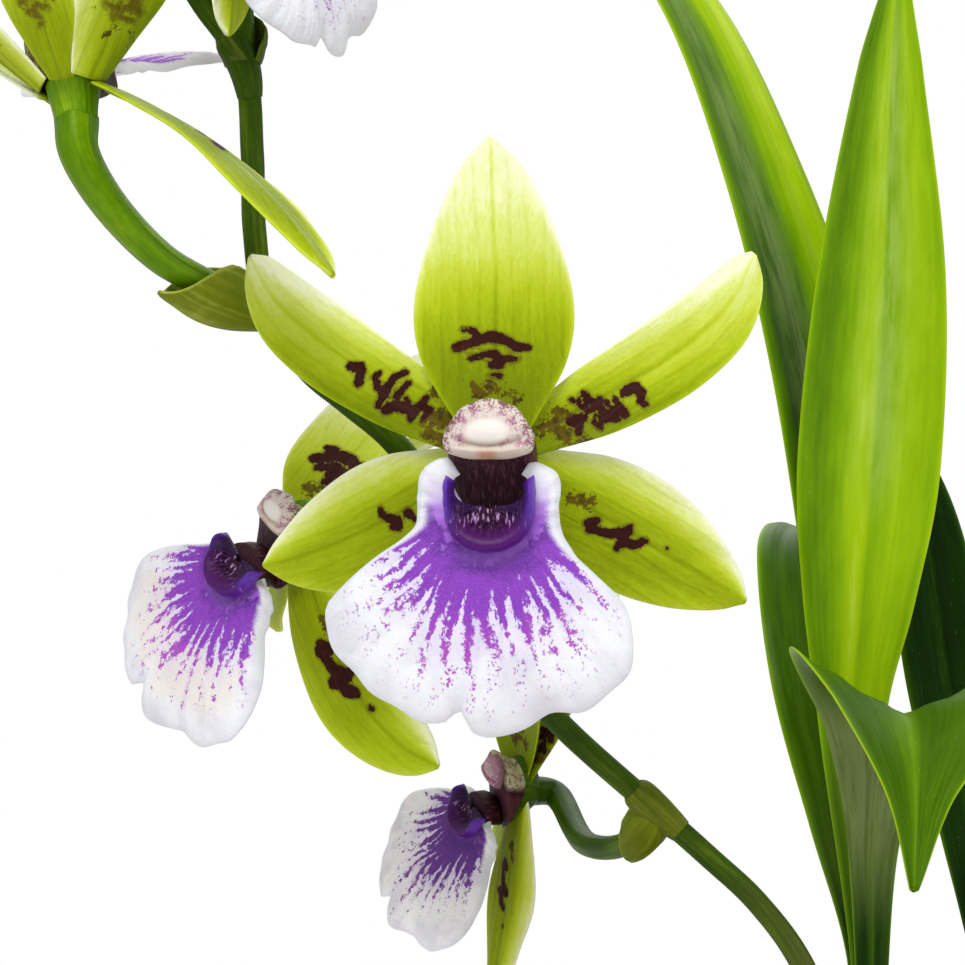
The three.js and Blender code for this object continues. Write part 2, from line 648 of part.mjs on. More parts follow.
function pot() {
  const profile = [
    [0, 0],
    [POT_FOOT_RADIUS - POT_EDGE, 0],
    [POT_FOOT_RADIUS, POT_EDGE],
    [wallTop, rimFoot],
    [POT_RIM_RADIUS - POT_EDGE / 2, rimFoot + POT_EDGE / 2],
    [POT_RIM_RADIUS, POT_HEIGHT - POT_EDGE],
    [POT_RIM_RADIUS - POT_EDGE, POT_HEIGHT],
    [innerRadius(POT_HEIGHT) + POT_EDGE, POT_HEIGHT],
    [innerRadius(POT_HEIGHT), POT_HEIGHT - POT_EDGE],
    [innerRadius(POT_FLOOR), POT_FLOOR],
    [0, POT_FLOOR],
  ];
  const drains = Array.from({ length: DRAIN_HOLES }, (_, k) => {
    const turn = (2 * Math.PI * (k + 0.5)) / DRAIN_HOLES;
    const drill = new THREE.CylinderGeometry(DRAIN_RADIUS, DRAIN_RADIUS, 3 * POT_FLOOR, DRAIN_SIDES);
    drill.rotateX(Math.PI / 2).translate(DRAIN_CIRCLE * Math.cos(turn), DRAIN_CIRCLE * Math.sin(turn), 0);
    return solidOf(drill);
  });
  return lathe(profile, POT_SIDES).subtract(Manifold.union(drains));
}
addMesh(root, "pot", pot(), FINISHES.terracotta);

// Bark mix that fills the pot, chips lying on its top and holes for what stands in it
function chip(k) {
  const [pitch, roll, swell] = CHIP_PACES.map((pace) => Math.sin(pace * k));
  const grow = THREE.MathUtils.mapLinear(swell, -1, 1, ...CHIP_GROWTH);
  const radius = CHIP_REACH * Math.sqrt((k + 0.5) / CHIPS);
  const turn = degrees(GOLDEN_ANGLE * k);
  const box = new THREE.BoxGeometry(...CHIP_SIZE.map((size) => size * grow));
  box.rotateX(degrees(CHIP_TILT * pitch));
  box.rotateY(degrees(CHIP_TILT * roll));
  box.rotateZ(degrees(CHIP_TURN * k));
  return solidOf(box.translate(radius * Math.cos(turn), radius * Math.sin(turn), BARK_LEVEL));
}

function barkMix() {
  const floor = POT_FLOOR + FIT_GAP;
  const profile = [
    [0, floor],
    [innerRadius(floor) - FIT_GAP, floor],
    [innerRadius(BARK_LEVEL) - FIT_GAP, BARK_LEVEL],
    [0, BARK_LEVEL + BARK_CROWN],
  ];
  const chips = Array.from({ length: CHIPS }, (_, k) => chip(k));
  const [foot, ...rest] = vecs(RACHIS.slice(0, 3));
  const stemHole = tube([foot.setZ(foot.z - HOLE_GAP), ...rest], [RACHIS_HOLE_RADIUS, RACHIS_HOLE_RADIUS], 1);
  const bulbHoles = Object.values(BULBS).map((form) => pseudobulb(form, HOLE_GAP));
  const filling = Manifold.union([lathe(profile, BARK_SIDES), ...chips]);
  const cut = filling.subtract(Manifold.union([stemHole, ...bulbHoles]));
  return cut.decompose().sort((a, b) => b.volume() - a.volume())[0];
}
addMesh(root, "bark_mix", barkMix(), FINISHES.bark);

export default root;
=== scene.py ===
"""Looks of the potted orchid. Lengths are in millimetres until a mesh is made, and +Z is up."""

import math
import random

import bmesh
import bpy
import numpy as np
from mathutils import Euler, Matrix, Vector


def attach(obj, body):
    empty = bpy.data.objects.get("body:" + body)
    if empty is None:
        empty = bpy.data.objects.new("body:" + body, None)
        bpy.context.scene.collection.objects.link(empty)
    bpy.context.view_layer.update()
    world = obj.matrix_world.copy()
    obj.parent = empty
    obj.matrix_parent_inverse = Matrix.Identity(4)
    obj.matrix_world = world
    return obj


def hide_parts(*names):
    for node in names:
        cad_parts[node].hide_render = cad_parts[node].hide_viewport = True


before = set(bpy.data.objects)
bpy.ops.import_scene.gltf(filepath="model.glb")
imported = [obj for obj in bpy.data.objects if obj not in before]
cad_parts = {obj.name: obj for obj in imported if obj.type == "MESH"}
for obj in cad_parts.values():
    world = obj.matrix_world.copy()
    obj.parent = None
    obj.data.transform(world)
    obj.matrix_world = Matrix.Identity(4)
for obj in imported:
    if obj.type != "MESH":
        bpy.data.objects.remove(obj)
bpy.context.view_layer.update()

MM = 0.001
PATH_STEP = 1e-4
WELD_DISTANCE = 1e-7

# Camera, level in front of the blooms, with its place in millimetres
CAMERA_PLACE = (-57.4, -378.0, 205.0)
CAMERA_LENS = 105.7
CAMERA_SENSOR = 36.0

# Lamps with place, energy and size, floor and backdrop, in metres
LIGHTS = {
    "key": ((-0.25, -0.8, 1.1), 9, 0.5),
    "side": ((0.9, -0.4, 0.6), 1.6, 0.7),
    "back": ((0.1, 0.9, 0.9), 3, 0.7),
}
LIGHT_TARGET = (-0.05, -0.02, 0.2)
BACKDROP_STRENGTH = 1.0
FILL_STRENGTH = 0.58
FLOOR_RADIUS = 0.6
FLOOR_LEVEL = -0.0003

# Tepals: half widths from base to tip, and how each lies in the frame of its bloom
TEPAL_SPANS = 7
TURN_POWER = 2.5
TEPAL_STEPS = 76
TEPAL_RING = 72
TEPAL_THICKNESS = 0.75
DORSAL_WIDTH = [
    (0, 3.4), (0.12, 6.2), (0.24, 8.6), (0.37, 9.7), (0.51, 9.4),
    (0.66, 7.9), (0.81, 5.6), (0.92, 3.3), (1, 0.4),
]
PETAL_WIDTH = [
    (0, 2.2), (0.15, 3.3), (0.3, 4.4), (0.45, 4.9), (0.6, 5.1),
    (0.75, 4.7), (0.87, 4.0), (0.95, 2.7), (1, 0.5),
]
SEPAL_WIDTH = [
    (0, 2.6), (0.15, 4.8), (0.3, 6.8), (0.45, 7.6), (0.6, 7.3),
    (0.75, 5.9), (0.87, 4.0), (0.95, 2.3), (1, 0.4),
]
TEPALS = {
    "dorsal": dict(
        rows=DORSAL_WIDTH, base=(0, 0), length=37,
        angle=-1, turn=-2, sweep=-6, curl=4, cup=0.18, upper=0,
    ),
    "petalRight": dict(
        rows=PETAL_WIDTH, base=(1.5, -0.5), length=38.6,
        angle=64, turn=-27, sweep=-9, curl=3, cup=0.1, upper=-1,
    ),
    "petalLeft": dict(
        rows=PETAL_WIDTH, base=(-1.5, -0.5), length=38.6,
        angle=-60.5, turn=17, sweep=-9, curl=3, cup=0.1, upper=1,
    ),
    "sepalRight": dict(
        rows=SEPAL_WIDTH, base=(2, -3), length=35.5,
        angle=121, turn=2, sweep=-25, curl=0, cup=-0.1, upper=-1,
    ),
    "sepalLeft": dict(
        rows=SEPAL_WIDTH, base=(-2, -3), length=35.5,
        angle=-119, turn=16, sweep=-25, curl=0, cup=-0.1, upper=1,
    ),
}

# Blooms: place, turn, size, and how their tepals differ from the plain ones
BLOOMS = {
    "front": dict(centre=(-55.7, -36, 210.1), yaw=7, pitch=0, roll=0, size=1),
    "left": dict(
        centre=(-81.1, 0, 199.2), yaw=43, pitch=14, roll=33, size=0.94,
        dorsal=dict(angle=-28, turn=8, sweep=-22, curl=-16, broad=1.12),
        petalLeft=dict(angle=-48, turn=36, sweep=-50, curl=-6),
        petalRight=dict(angle=64, turn=-6, sweep=6, curl=0, length=36),
        sepalRight=dict(angle=127, turn=-48, sweep=-18, curl=-6, length=38, broad=1.1),
        sepalLeft=dict(angle=-137, turn=-10, sweep=-40),
    ),
    "lower": dict(
        centre=(-51.9, 24, 163.4), yaw=60, pitch=8, roll=32, size=0.78, lip_slope=18,
        dorsal=dict(angle=-31, sweep=6),
        petalLeft=dict(angle=-72, turn=8, sweep=-10),
        petalRight=dict(angle=-11, turn=4, sweep=-6, curl=-8),
        sepalRight=dict(angle=155, turn=-10, sweep=-8, curl=12, length=38),
        sepalLeft=dict(angle=-152, sweep=-25),
    ),
    "upper": dict(
        centre=(-107.9, -34, 253.4), yaw=158, pitch=74, roll=32, size=0.95,
        lip_slope=25, lip_breadth=0.8, outset=2,
        dorsal=dict(angle=0, sweep=40, curl=10, broad=0.5),
        petalLeft=dict(angle=-58, turn=0, sweep=50, curl=0, rows=SEPAL_WIDTH, broad=1.05),
        petalRight=dict(angle=60, turn=0, sweep=45),
        sepalLeft=dict(angle=-74, turn=12, sweep=-30, curl=-30, length=47.5),
        sepalRight=dict(angle=108, turn=0, sweep=44),
    ),
    "top": dict(
        centre=(-86.4, -31, 286.4), yaw=-62, pitch=5, roll=-10, size=0.86, lip_slope=6,
        dorsal=dict(angle=2),
        petalLeft=dict(angle=-58, turn=8, sweep=-12),
        petalRight=dict(angle=60, turn=-8, sweep=-12),
        sepalLeft=dict(angle=-163, turn=6, sweep=-4, curl=0, length=29),
        sepalRight=dict(angle=118, sweep=-20),
    ),
}

# How far the point of a petal lies above its middle
PETAL_POINT = 1.7

# How pale each kind of tepal is from its base to its tip, and how blooms differ in that; the dorsal's paler
# top is partly painted light from above
DORSAL_TONE = [(0, -0.05), (0.22, 0), (0.35, 0.16), (0.47, 0.36), (0.63, 0.68), (0.8, 0.86), (1, 1.02)]
PETAL_TONE = [(0, 0.06), (0.25, 0.14), (0.5, 0.38), (0.75, 0.58), (0.92, 0.86), (1, 1.0)]
SEPAL_TONE = [(0, 0.1), (0.3, 0.16), (0.8, 0.26), (1, 0.42)]
TONE_SHIFT = dict(left=-0.08, lower=-0.1, upper=0.22)
TEPAL_SHIFT = {("upper", "sepalLeft"): -0.18, ("left", "dorsal"): 0.32, ("left", "sepalRight"): 0.02}
# The tepal whose paler side, painted light from above, is its lower half instead of its upper
PALE_BELOW = ("upper", "sepalLeft")

# Dark marks on the face of a bloom, as strokes through points of x, y and half width
NO_STROKE = 9.0
MARK_HIDDEN = 1.2
MARK_SHIFT = 0.6
MARK_BOLD = dict(left=0.3, lower=0.1)
MARKS = {
    "dorsal": [
        [(-4.2, 13.4, 0.33), (-2.8, 13.4, 0.33), (-2.6, 12.6, 0.37)],
        [
            (-4.9, 11.2, 0.6), (-2.3, 12.1, 0.6), (-0.7, 12.6, 0.7),
            (1.4, 12, 0.6), (2.3, 11.2, 0.55), (3.9, 11.2, 0.4),
        ],
        [(-3.4, 9.8, 0.35), (-2, 10.2, 0.4), (-0.5, 10.6, 0.5), (0.5, 9.8, 0.5), (2.6, 9.8, 0.33)],
        [(0.1, 9.7, 0.5), (0.1, 9, 0.5)],
        [(-0.9, 9, 0.37), (0.7, 9, 0.37)],
        [(-1, 7.7, 0.2), (0.1, 7.8, 0.28), (0.6, 7.7, 0.3)],
    ],
    "petalLeft": [
        [(-18.3, 9.1, 0.6), (-17, 9, 0.65), (-17.2, 7, 0.55)],
        [(-14.6, 8.3, 0.35), (-15.2, 7.7, 0.43), (-14.8, 6.4, 0.45), (-14.2, 6, 0.43)],
        [
            (-11.3, 8.3, 0.45), (-12.6, 7.8, 0.45), (-13.6, 6.6, 0.5),
            (-14, 5.7, 0.6), (-14.6, 4.5, 0.45), (-14.9, 4.2, 0.3),
        ],
        [(-10.9, 7, 0.4), (-11.7, 6.2, 0.4), (-12.5, 5.3, 0.45)],
        [(-13.8, 3.7, 0.6), (-12.6, 4.3, 0.65), (-11.2, 3.9, 0.7), (-10.3, 3.3, 0.6), (-10.7, 2.5, 0.4)],
        [(-11.2, 5.1, 0.3), (-11, 4.6, 0.34)],
        [(-10.3, 3.5, 0.6), (-9.2, 4.4, 0.55), (-8.7, 5.2, 0.42)],
        [(-8.2, 3.8, 0.4), (-9, 2.8, 0.35), (-9.2, 2.1, 0.28)],
    ],
    "petalRight": [
        [(15.3, 5.8, 0.6), (16.6, 6.4, 0.7), (17.4, 5.7, 0.6), (17.2, 4.7, 0.42), (17.8, 4.3, 0.44)],
        [(14.1, 5, 0.38), (14.7, 4.1, 0.45), (15.5, 3.1, 0.5)],
        [(13.5, 3.3, 0.55), (15.2, 3.5, 0.6)],
        [(12.9, 3.1, 0.5), (14.1, 2.6, 0.5), (14.7, 2.5, 0.3)],
        [(12.3, 5.1, 0.33), (13.2, 4.5, 0.36)],
        [(10.4, 5.7, 0.42), (11.2, 4.8, 0.46), (12.3, 4.1, 0.48), (13, 3, 0.48)],
        [(12, 3, 0.3), (13.1, 2.3, 0.3)],
        [(8.9, 4.9, 0.33), (9.9, 4.5, 0.38), (10.8, 3.6, 0.41), (11.4, 3.6, 0.42)],
        [(9.3, 2.7, 0.5), (10.4, 2.6, 0.55)],
        [(8.9, 2.3, 0.6), (9.9, 1.9, 0.6), (9.9, 1, 0.48)],
        [(11.7, 2.2, 0.33), (12.5, 1.4, 0.36)],
    ],
    "sepalLeft": [
        [(-15.2, -8.5, 0.45), (-14.9, -9.2, 0.5), (-13.7, -9.6, 0.6), (-12.9, -9.9, 0.65)],
        [(-13.7, -10.6, 0.45), (-12.7, -10.7, 0.45)],
        [(-11.7, -8.8, 0.55), (-11.4, -8.9, 0.6), (-10.6, -9.6, 0.35)],
    ],
    "sepalRight": [
        [(10.7, -10.1, 0.65), (11.7, -9.8, 0.55)],
        [
            (10.7, -10.9, 0.45), (11.3, -10.8, 0.5), (13.1, -11.4, 0.55),
            (15.3, -11.2, 0.65), (15.7, -10.5, 0.4),
        ],
        [(14, -13.2, 0.4), (14.6, -12.3, 0.6), (16.1, -12.8, 0.6), (17.3, -12.3, 0.48)],
        [(20, -13.2, 0.2), (20.1, -13.2, 0.2)],
    ],
}
SMUDGES = {
    "dorsal": [
        [(-2.9, 6.6, 0.4), (-1.7, 5.6, 0.5)],
        [(-1, 6.4, 0.4), (0.2, 6, 0.4)],
        [(1.9, 5.6, 0.3), (2.3, 5.1, 0.3)],
    ],
    "petalLeft": [
        [(-7.7, 2.6, 0.9), (-5.7, 2.6, 0.9)],
        [(-8.2, 0.9, 0.7), (-6.7, 0.1, 0.7)],
        [(-7.7, 5.7, 0.4), (-7.2, 6, 0.4)],
    ],
    "petalRight": [
        [(7.2, 3.5, 0.5), (8.3, 2.9, 0.5)],
        [(7.5, 1.2, 0.6), (8.5, 0.2, 0.6)],
        [(5.6, 1.4, 0.6), (7.2, 2.1, 0.6)],
        [(9.8, -0.1, 0.2), (10.8, 0.2, 0.2)],
    ],
    "sepalLeft": [[(-9, -7.6, 0.3), (-8.6, -7.9, 0.3)]],
    "sepalRight": [[(9, -7, 0.4), (10.9, -7.5, 0.45)]],
}

# Lip, with its outline as degrees round from straight down and reach in units of LIP_UNIT
LIP_STEPS = 150
LIP_RING = 96
LIP_HALF_THICKNESS = 0.42
LIP_UNIT = 11.65
LIP_MIDDLE = -10
LIP_FRONT = 6
LIP_LEAN = 0.2
LIP_BEND = 0.006
LIP_ARCH = 0.004
LIP_SLOPE_BELOW = -13
LIP_OPENING = 148
LIP_OPENING_TURNED = 118
LIP_THROAT = 1.5
LIP_SHOULDER_GAP = 5.4
LIP_REACH = [
    (-148, 0.76), (-139, 0.8), (-127, 0.84), (-115, 0.78), (-104, 0.71), (-84, 0.72), (-70, 0.9),
    (-63.6, 1.22), (-59.8, 1.52), (-51.8, 1.85), (-42.5, 2.06), (-26.4, 2.12), (-16.2, 2.03),
    (-3.6, 2.18), (5, 2.12), (9.2, 1.94), (13.5, 2.1), (29.4, 2.13), (48, 2.1), (56.6, 2.06),
    (63.7, 1.91), (67.6, 1.65), (73.6, 1.28), (80, 0.95), (90, 0.79), (112, 0.84), (125, 0.9),
    (139, 0.87), (148, 0.8),
]

# Callus: how far it reaches round its middle, and its height from the middle to the edge
CALLUS_STEPS = 110
CALLUS_TOP = 40
CALLUS_UNDER = 12
CALLUS_MIDDLE = -7.5
CALLUS_OPENING = 122
CALLUS_OPENING_TURNED = 98
CALLUS_LIFT = 0.95
CALLUS_REACH = [(-122, 6.2), (-90, 5.5), (-45, 5.9), (0, 5.9), (45, 5.9), (90, 5.5), (122, 6.2)]
CALLUS_INNER = 0.12
CALLUS_ARM_INNER = 0.74
CALLUS_FRONT = [(0.12, 0.5), (0.4, 0.8), (0.6, 1.5), (0.75, 2.2), (0.88, 2.3), (0.95, 1.8), (1, 0.6)]
CALLUS_ARMS = [(0.12, 0.6), (0.7, 0.7), (0.78, 1.6), (0.87, 2.8), (0.95, 2.5), (1, 0.9)]

# Round pieces of a bloom: height in front of its centre, half width, half height, middle
RECEPTACLE = [(-3.7, 2.9, 2.9, -3), (-2, 4.1, 5.2, -2.9), (0, 4.8, 6.6, -2.9), (1.4, 4.6, 6.4, -3)]
RECEPTACLE_SLIM = [
    (-3.9, 2.78, 2.78, -3), (-2.4, 2.95, 2.95, -2.9), (-1, 3.2, 3.6, -2.8), (0.4, 3.4, 4.8, -2.8),
]
LIP_CLAW = [(1.7, 2.2, 0.5, -9.1), (4, 2.6, 0.7, -9.4), (6, 2.8, 1.4, -10.2)]
LIP_CLAW_BROAD = [(1.7, 3.2, 1.9, -8.4), (4, 3.8, 2.8, -7.8), (6, 4.2, 2.6, -8.4)]
COLUMN = [
    (1.7, 5.1, 5.9, -3.6), (3, 5.3, 4.8, -2.7), (4.5, 5.3, 3.9, -1.4),
    (6, 5.2, 3.2, -0.3), (7.2, 4.9, 2.7, 0.5),
]

# Moves the claw's pattern off the violet fan
CLAW_CLEAR_OF_FAN = 30

# Anther cap, with the rings of its top and its underside
CAP_TOP = 52
CAP_UNDER = 10
CAP_RING = 96
CAP_BACK = 7.5
CAP_MIDDLE = -0.4
CAP_HALF_WIDTH = 5.5
CAP_ABOVE = 5.2
CAP_TAPER = 0.1
CAP_BELOW = 2.0

# Shorter columns and smaller caps of two blooms turned away
COLUMN_SHARE = dict(left=0.7, lower=0.72)
CAP_SHARE = dict(left=0.78, lower=0.7)

# Stem
RACHIS = [
    (-3, -14.5, 84), (-5, -14, 106), (-9.5, -13, 124), (-15.8, -10, 142.3), (-21.6, -8, 150.3),
    (-27.6, -6, 155.8), (-34.4, -5, 161.8), (-47.6, -7, 173.8), (-53.2, -9, 180.9), (-58, -10, 191),
    (-62.9, -12, 202.1), (-69, -14, 210.5), (-74.7, -15, 215.3), (-79.5, -16.5, 219.3), (-84.6, -18, 226.6),
    (-86.2, -20, 237), (-86.3, -22, 246.4), (-87.3, -24, 257.2), (-92.3, -25, 264.7), (-96, -26, 270.5),
]
RACHIS_RADII = (2, 1.5, 1.6, 1.6, 1.5, 1.4)

# Place of each bloom's node among the points of the stem, and its stalk
NODES = dict(lower=6, front=8, left=10, upper=14, top=17)
STALKS = {
    "lower": dict(through=[(-38.2, 2, 156.6), (-43.3, 13, 155.4)], radii=(1.5, 1.7, 2.1), bract=7),
    "front": dict(through=[(-51.5, -14, 187), (-52.5, -19, 198)], radii=(1.5, 1.7, 2.3), bract=6),
    "left": dict(through=[(-66, -4, 201), (-72, 4, 198)], radii=(1.5, 1.7, 2.3), bract=6),
    "upper": dict(
        through=[(-92.2, -23.5, 229.9), (-97.3, -27, 232.8), (-103.4, -31, 239.4)],
        radii=(1.7, 2.1, 2.7), bract=13,
    ),
    "top": dict(through=[(-88, -23, 266), (-90.5, -22, 275)], radii=(1.6, 1.8, 2.1), bract=7),
}
BRIGHT_STALKS = ("left", "upper")

# Bracts: length beyond that of the stalk's row, gap to the stalk, and half turn round it
BRACT_FREE_TIP = 2.0
BRACT_FLARE = (0.5, 1.4, 1.3, 1.0)
BRACT_FLARES = dict(upper=(0.6, 1.8, 2.4, 2.0))
BRACT_WRAP = [(0, 2.9), (0.35, 2.3), (0.7, 1.5), (0.9, 0.8), (1, 0.1)]
BRACT_WRAPS = dict(upper=[(0, 3), (0.4, 2.8), (0.6, 2.3), (0.8, 1.5), (1, 0.1)])
NODE_SHEATH_REACH = 4.2
NODE_SWELL = [(0, 0.1), (0.2, 0.35), (0.5, 0.6), (0.8, 0.7), (0.93, 0.5), (1, 0.1)]
STALK_END = (0, -3, -3.6)
STALK_APPROACH = (0, -3, -8)
BUD_PATH = [(-96.5, -26.1, 271.3), (-98.2, -26.5, 274.5), (-100.4, -27, 278.5), (-102.2, -27.4, 282)]
BUD_RADII = (1.3, 2.7, 2.3, 0.4)

# Leaves
LEAF_THICKNESS = 0.7
LEAVES = {
    "leaf_front": dict(
        spine=[
            (-6, -1, 121.5), (-6.2, -1, 140.6), (-8.4, -2, 174.7), (-7.6, -2, 189.3),
            (-6.1, 0, 206.7), (-4, 2, 233), (-2.4, 4, 262), (-1, 5, 277.4),
        ],
        widths=(2, 2.2, 4.7, 7.4, 9.5, 8.6, 4.2, 0.6), across=((1, 0, 0), (1, 0, 0)), fold=0.16,
    ),
    "leaf_behind_left": dict(
        spine=[
            (-6, 1.8, 121.5), (-5.8, 3, 140), (-7.3, 6.5, 175), (-12.1, 8, 219),
            (-20, 9, 247), (-29.7, 12, 270.7), (-44, 17, 289), (-68, 24, 294),
        ],
        widths=(2, 2.4, 5.5, 8.3, 8.6, 8, 6, 0.6), across=((0.95, 0.3, 0), (0.5, 0.86, 0)), fold=0.16,
    ),
    "leaf_arching_back": dict(
        spine=[
            (-6, 4.6, 121.5), (-5.6, 6.8, 140), (-8, 11.5, 158), (-10.4, 18, 178),
            (-9.8, 29, 193), (-5, 46, 197.5), (-1, 63, 188), (2, 79, 173),
        ],
        widths=(2, 2.4, 4.6, 7.4, 8.5, 7.8, 5.2, 0.6), across=((1, 0.1, 0), (0.96, 0.26, 0)), fold=0.14,
    ),
    "leaf_bent_over": dict(
        spine=[
            (-6, -4, 121.5), (-6, -4.4, 140.6), (-6, -7.5, 160), (-5.2, -12.5, 170.5),
            (-4.2, -20, 174.8), (-4.4, -28.5, 171.5), (-5.2, -36, 165), (-6.3, -42, 156.5),
        ],
        widths=(2.2, 2.2, 3.8, 8, 15, 11, 4, 0.6), across=((1, 0, 0), (1, 0, -0.1)), fold=0, tip_fold=-0.95,
    ),
    "leaf_back_dark": dict(
        spine=[
            (13.5, 14, 131.5), (12.6, 17, 144), (10.4, 20, 160.4), (8.3, 21, 174.4),
            (6.2, 21, 188.5), (4.1, 22, 202.5), (0.6, 23, 216.6),
        ],
        widths=(2.2, 3.6, 5.6, 6.4, 6.2, 4.6, 0.6), across=((0.95, 0.3, 0), (0.95, 0.3, 0)), fold=0.16,
    ),
    "leaf_right": dict(
        spine=[
            (16.5, 11.5, 131.5), (21, 10, 148), (29, 7, 176), (38, 4, 203),
            (50, 0, 224), (66, -4, 234), (84, -8, 230),
        ],
        widths=(2.2, 4.2, 7.6, 8.8, 8.6, 6.4, 0.6), across=((-0.25, -0.97, 0), (-0.1, -0.99, 0)), fold=0.16,
    ),
    "leaf_far_right": dict(
        spine=[
            (15, 17, 131.5), (18, 24, 148), (23, 37, 174), (29, 52, 195),
            (37, 70, 206), (46, 88, 203), (55, 103, 190),
        ],
        widths=(2.2, 4.2, 7.6, 8.8, 8.4, 6.2, 0.6), across=((0.9, -0.43, 0), (0.88, -0.47, 0)), fold=0.16,
    ),
}

# Paleness across each leaf, partly painted light and shade on the lit and shaded halves of the folded
# blades and on the dark leaf at the back, how it rises to the tip, waxy bloom near the foot, and a painted
# reflection along part of the blade
LEAF_LOOKS = {
    "leaf_front": dict(
        bands=[
            (-1, 0.54), (-0.72, 0.5), (-0.35, 0.7), (-0.04, 0.9),
            (0.08, 0.68), (0.4, 0.8), (0.72, 0.76), (1, 0.66),
        ],
        rise=-0.1, painted_reflection=(0.5, 0.98, 0.1, 0.2), wax=0.3, wax_span=(0.15, 0.3),
    ),
    "leaf_behind_left": dict(
        bands=[
            (-1, 0.5), (-0.8, 0.36), (-0.5, 0.3), (-0.1, 0.36),
            (0.2, 0.56), (0.5, 0.8), (0.8, 0.84), (1, 0.64),
        ],
        rise=0.6, painted_reflection=(0.3, 0.8, -0.3, 0.22), wax=0.4, wax_span=(0.15, 0.35),
    ),
    "leaf_arching_back": dict(
        bands=[(-1, 0.48), (-0.8, 0.36), (-0.2, 0.36), (0, 0.46), (0.1, 0.38), (1, 0.44)],
        rise=-0.05, wax=0.3, wax_span=(0.15, 0.35),
    ),
    "leaf_bent_over": dict(
        bands=[
            (-1, 0.58), (-0.9, 0.38), (-0.3, 0.36), (0, 0.5),
            (0.06, 0.36), (0.6, 0.38), (0.92, 0.42), (1, 0.6),
        ],
        rise=0.1, wax=0.95, wax_span=(0.42, 0.56),
    ),
    "leaf_back_dark": dict(bands=[(-1, 0.24), (-0.4, 0.13), (0, 0.2), (0.08, 0.1), (1, 0.18)], rise=0.05),
    "leaf_right": dict(
        bands=[(-1, 0.66), (-0.4, 0.6), (0, 0.78), (0.1, 0.6), (0.6, 0.68), (1, 0.72)], rise=0.1, wax=0.5,
    ),
    "leaf_far_right": dict(
        bands=[(-1, 0.56), (-0.5, 0.62), (0, 0.74), (0.1, 0.56), (0.6, 0.6), (1, 0.66)], rise=0.1, wax=0.5,
    ),
}

# Pseudobulbs and sheath: height, half width, half depth
BULBS = {
    "pseudobulb_young": dict(
        foot=(-6, 0), turn=0,
        rings=[
            (86, 5, 4.5), (92, 9, 7.5), (100, 10.5, 8.5),
            (109, 9, 7.5), (116, 5.5, 5.8), (121.2, 3.6, 6.2),
        ],
    ),
    "pseudobulb_ripe": dict(
        foot=(15, 14), turn=35,
        rings=[
            (84, 6, 5), (91, 11, 9), (102, 13, 10.5),
            (114, 11.5, 9.5), (124, 8, 6.5), (131.2, 4.6, 5),
        ],
    ),
    "pseudobulb_old": dict(
        foot=(31, -10), turn=100,
        rings=[
            (84, 5, 5), (90, 10.5, 8.5), (100, 12.5, 9.5),
            (110, 10.5, 8), (117, 5.5, 4.5), (121, 2, 2),
        ],
    ),
}
SHEATH = [(113, 7.9, 7.4), (118, 5.4, 6.9), (124, 3.8, 7.4), (134, 3.8, 8.3)]
SHEATH_FOOT = (-6, 0.6)
SHEATH_OUTER_GAP = 0.9
SHEATH_INNER_GAP = 0.3

# Pot and bark
POT_HEIGHT = 104
POT_FOOT_RADIUS = 42
POT_RIM_RADIUS = 60
POT_RIM_HEIGHT = 20
POT_RIM_STEP = 4
POT_WALL = 5
POT_FLOOR = 7
BARK_LEVEL = 94
CHIP_COUNT = 96
CHIP_TURN = 137.5
CHIP_SIZES = ((11, 18), (7, 12), (3, 5.5))
CHIP_TILTS = ((-0.35, 0.35), (-0.35, 0.35), (0, 6.3))
CHIP_RISE = (-2.8, 0.4)
CHIP_WEAR = 0.16
CHIP_ROUGH = (0.5, 0.5, 0.25)

# Colours in screen values from 0 to 255, and ramps of them from dark to pale
TEPAL_TONES = [
    (0.0, (124, 142, 2)), (0.2, (152, 170, 6)), (0.4, (178, 195, 28)),
    (0.6, (200, 213, 70)), (0.8, (221, 230, 130)), (1.0, (244, 249, 206)),
]
MARK_BROWN = (56, 22, 18)
MARK_EDGE = (84, 40, 18)
SMUDGE_BROWN = (92, 62, 14)
LIP_WHITE = (240, 241, 246)
LIP_WHITE_PAINTED_LIGHT = (255, 253, 255)
LIP_SHADE = (220, 220, 229)
LIP_CREAM = (236, 227, 212)
LIP_EDGE_SHADE = (226, 226, 236)
VIOLET_DARK = (66, 20, 104)
VIOLET_DEEP = (96, 26, 150)
VIOLET = (134, 46, 184)
VIOLET_LIGHT = (168, 100, 214)
VIOLET_MILKY = (152, 96, 206)
VIOLET_PINK = (172, 66, 186)
LAVENDER = (206, 178, 236)
CALLUS_TONES = [
    (0.0, (40, 5, 26)), (0.45, (52, 4, 52)), (0.66, (70, 5, 84)),
    (0.86, (76, 6, 98)), (0.95, (84, 12, 116)), (1.0, (86, 26, 138)),
]
CALLUS_ARM_TONES = [
    (0.7, (46, 10, 62)), (0.8, (64, 22, 106)), (0.9, (88, 44, 160)), (1.0, (114, 64, 186)),
]
FLECK_PINK = (196, 150, 208)
GLINT_LILAC = (190, 160, 216)
COLUMN_TONES = [
    (0.3, (34, 8, 20)), (0.52, (58, 18, 32)), (0.66, (92, 50, 62)), (0.8, (140, 104, 112)),
]
COLUMN_EDGE = (78, 34, 44)
COLUMN_CREAM = (206, 196, 160)
COLUMN_SPOT = (128, 64, 92)
CAP_WHITE = (243, 236, 228)
CAP_SHADE = (224, 212, 202)
CAP_PINK = (210, 184, 176)
CAP_BUFF = (216, 196, 176)
CAP_PEACH = (200, 140, 104)
CAP_GROOVE_SHADE = (186, 164, 140)
CAP_SPECKLE = (168, 96, 142)
CAP_SPECKLE_DARK = (106, 40, 70)
STEM_GREEN = ((40, 62, 1), (56, 82, 3), (90, 114, 16))
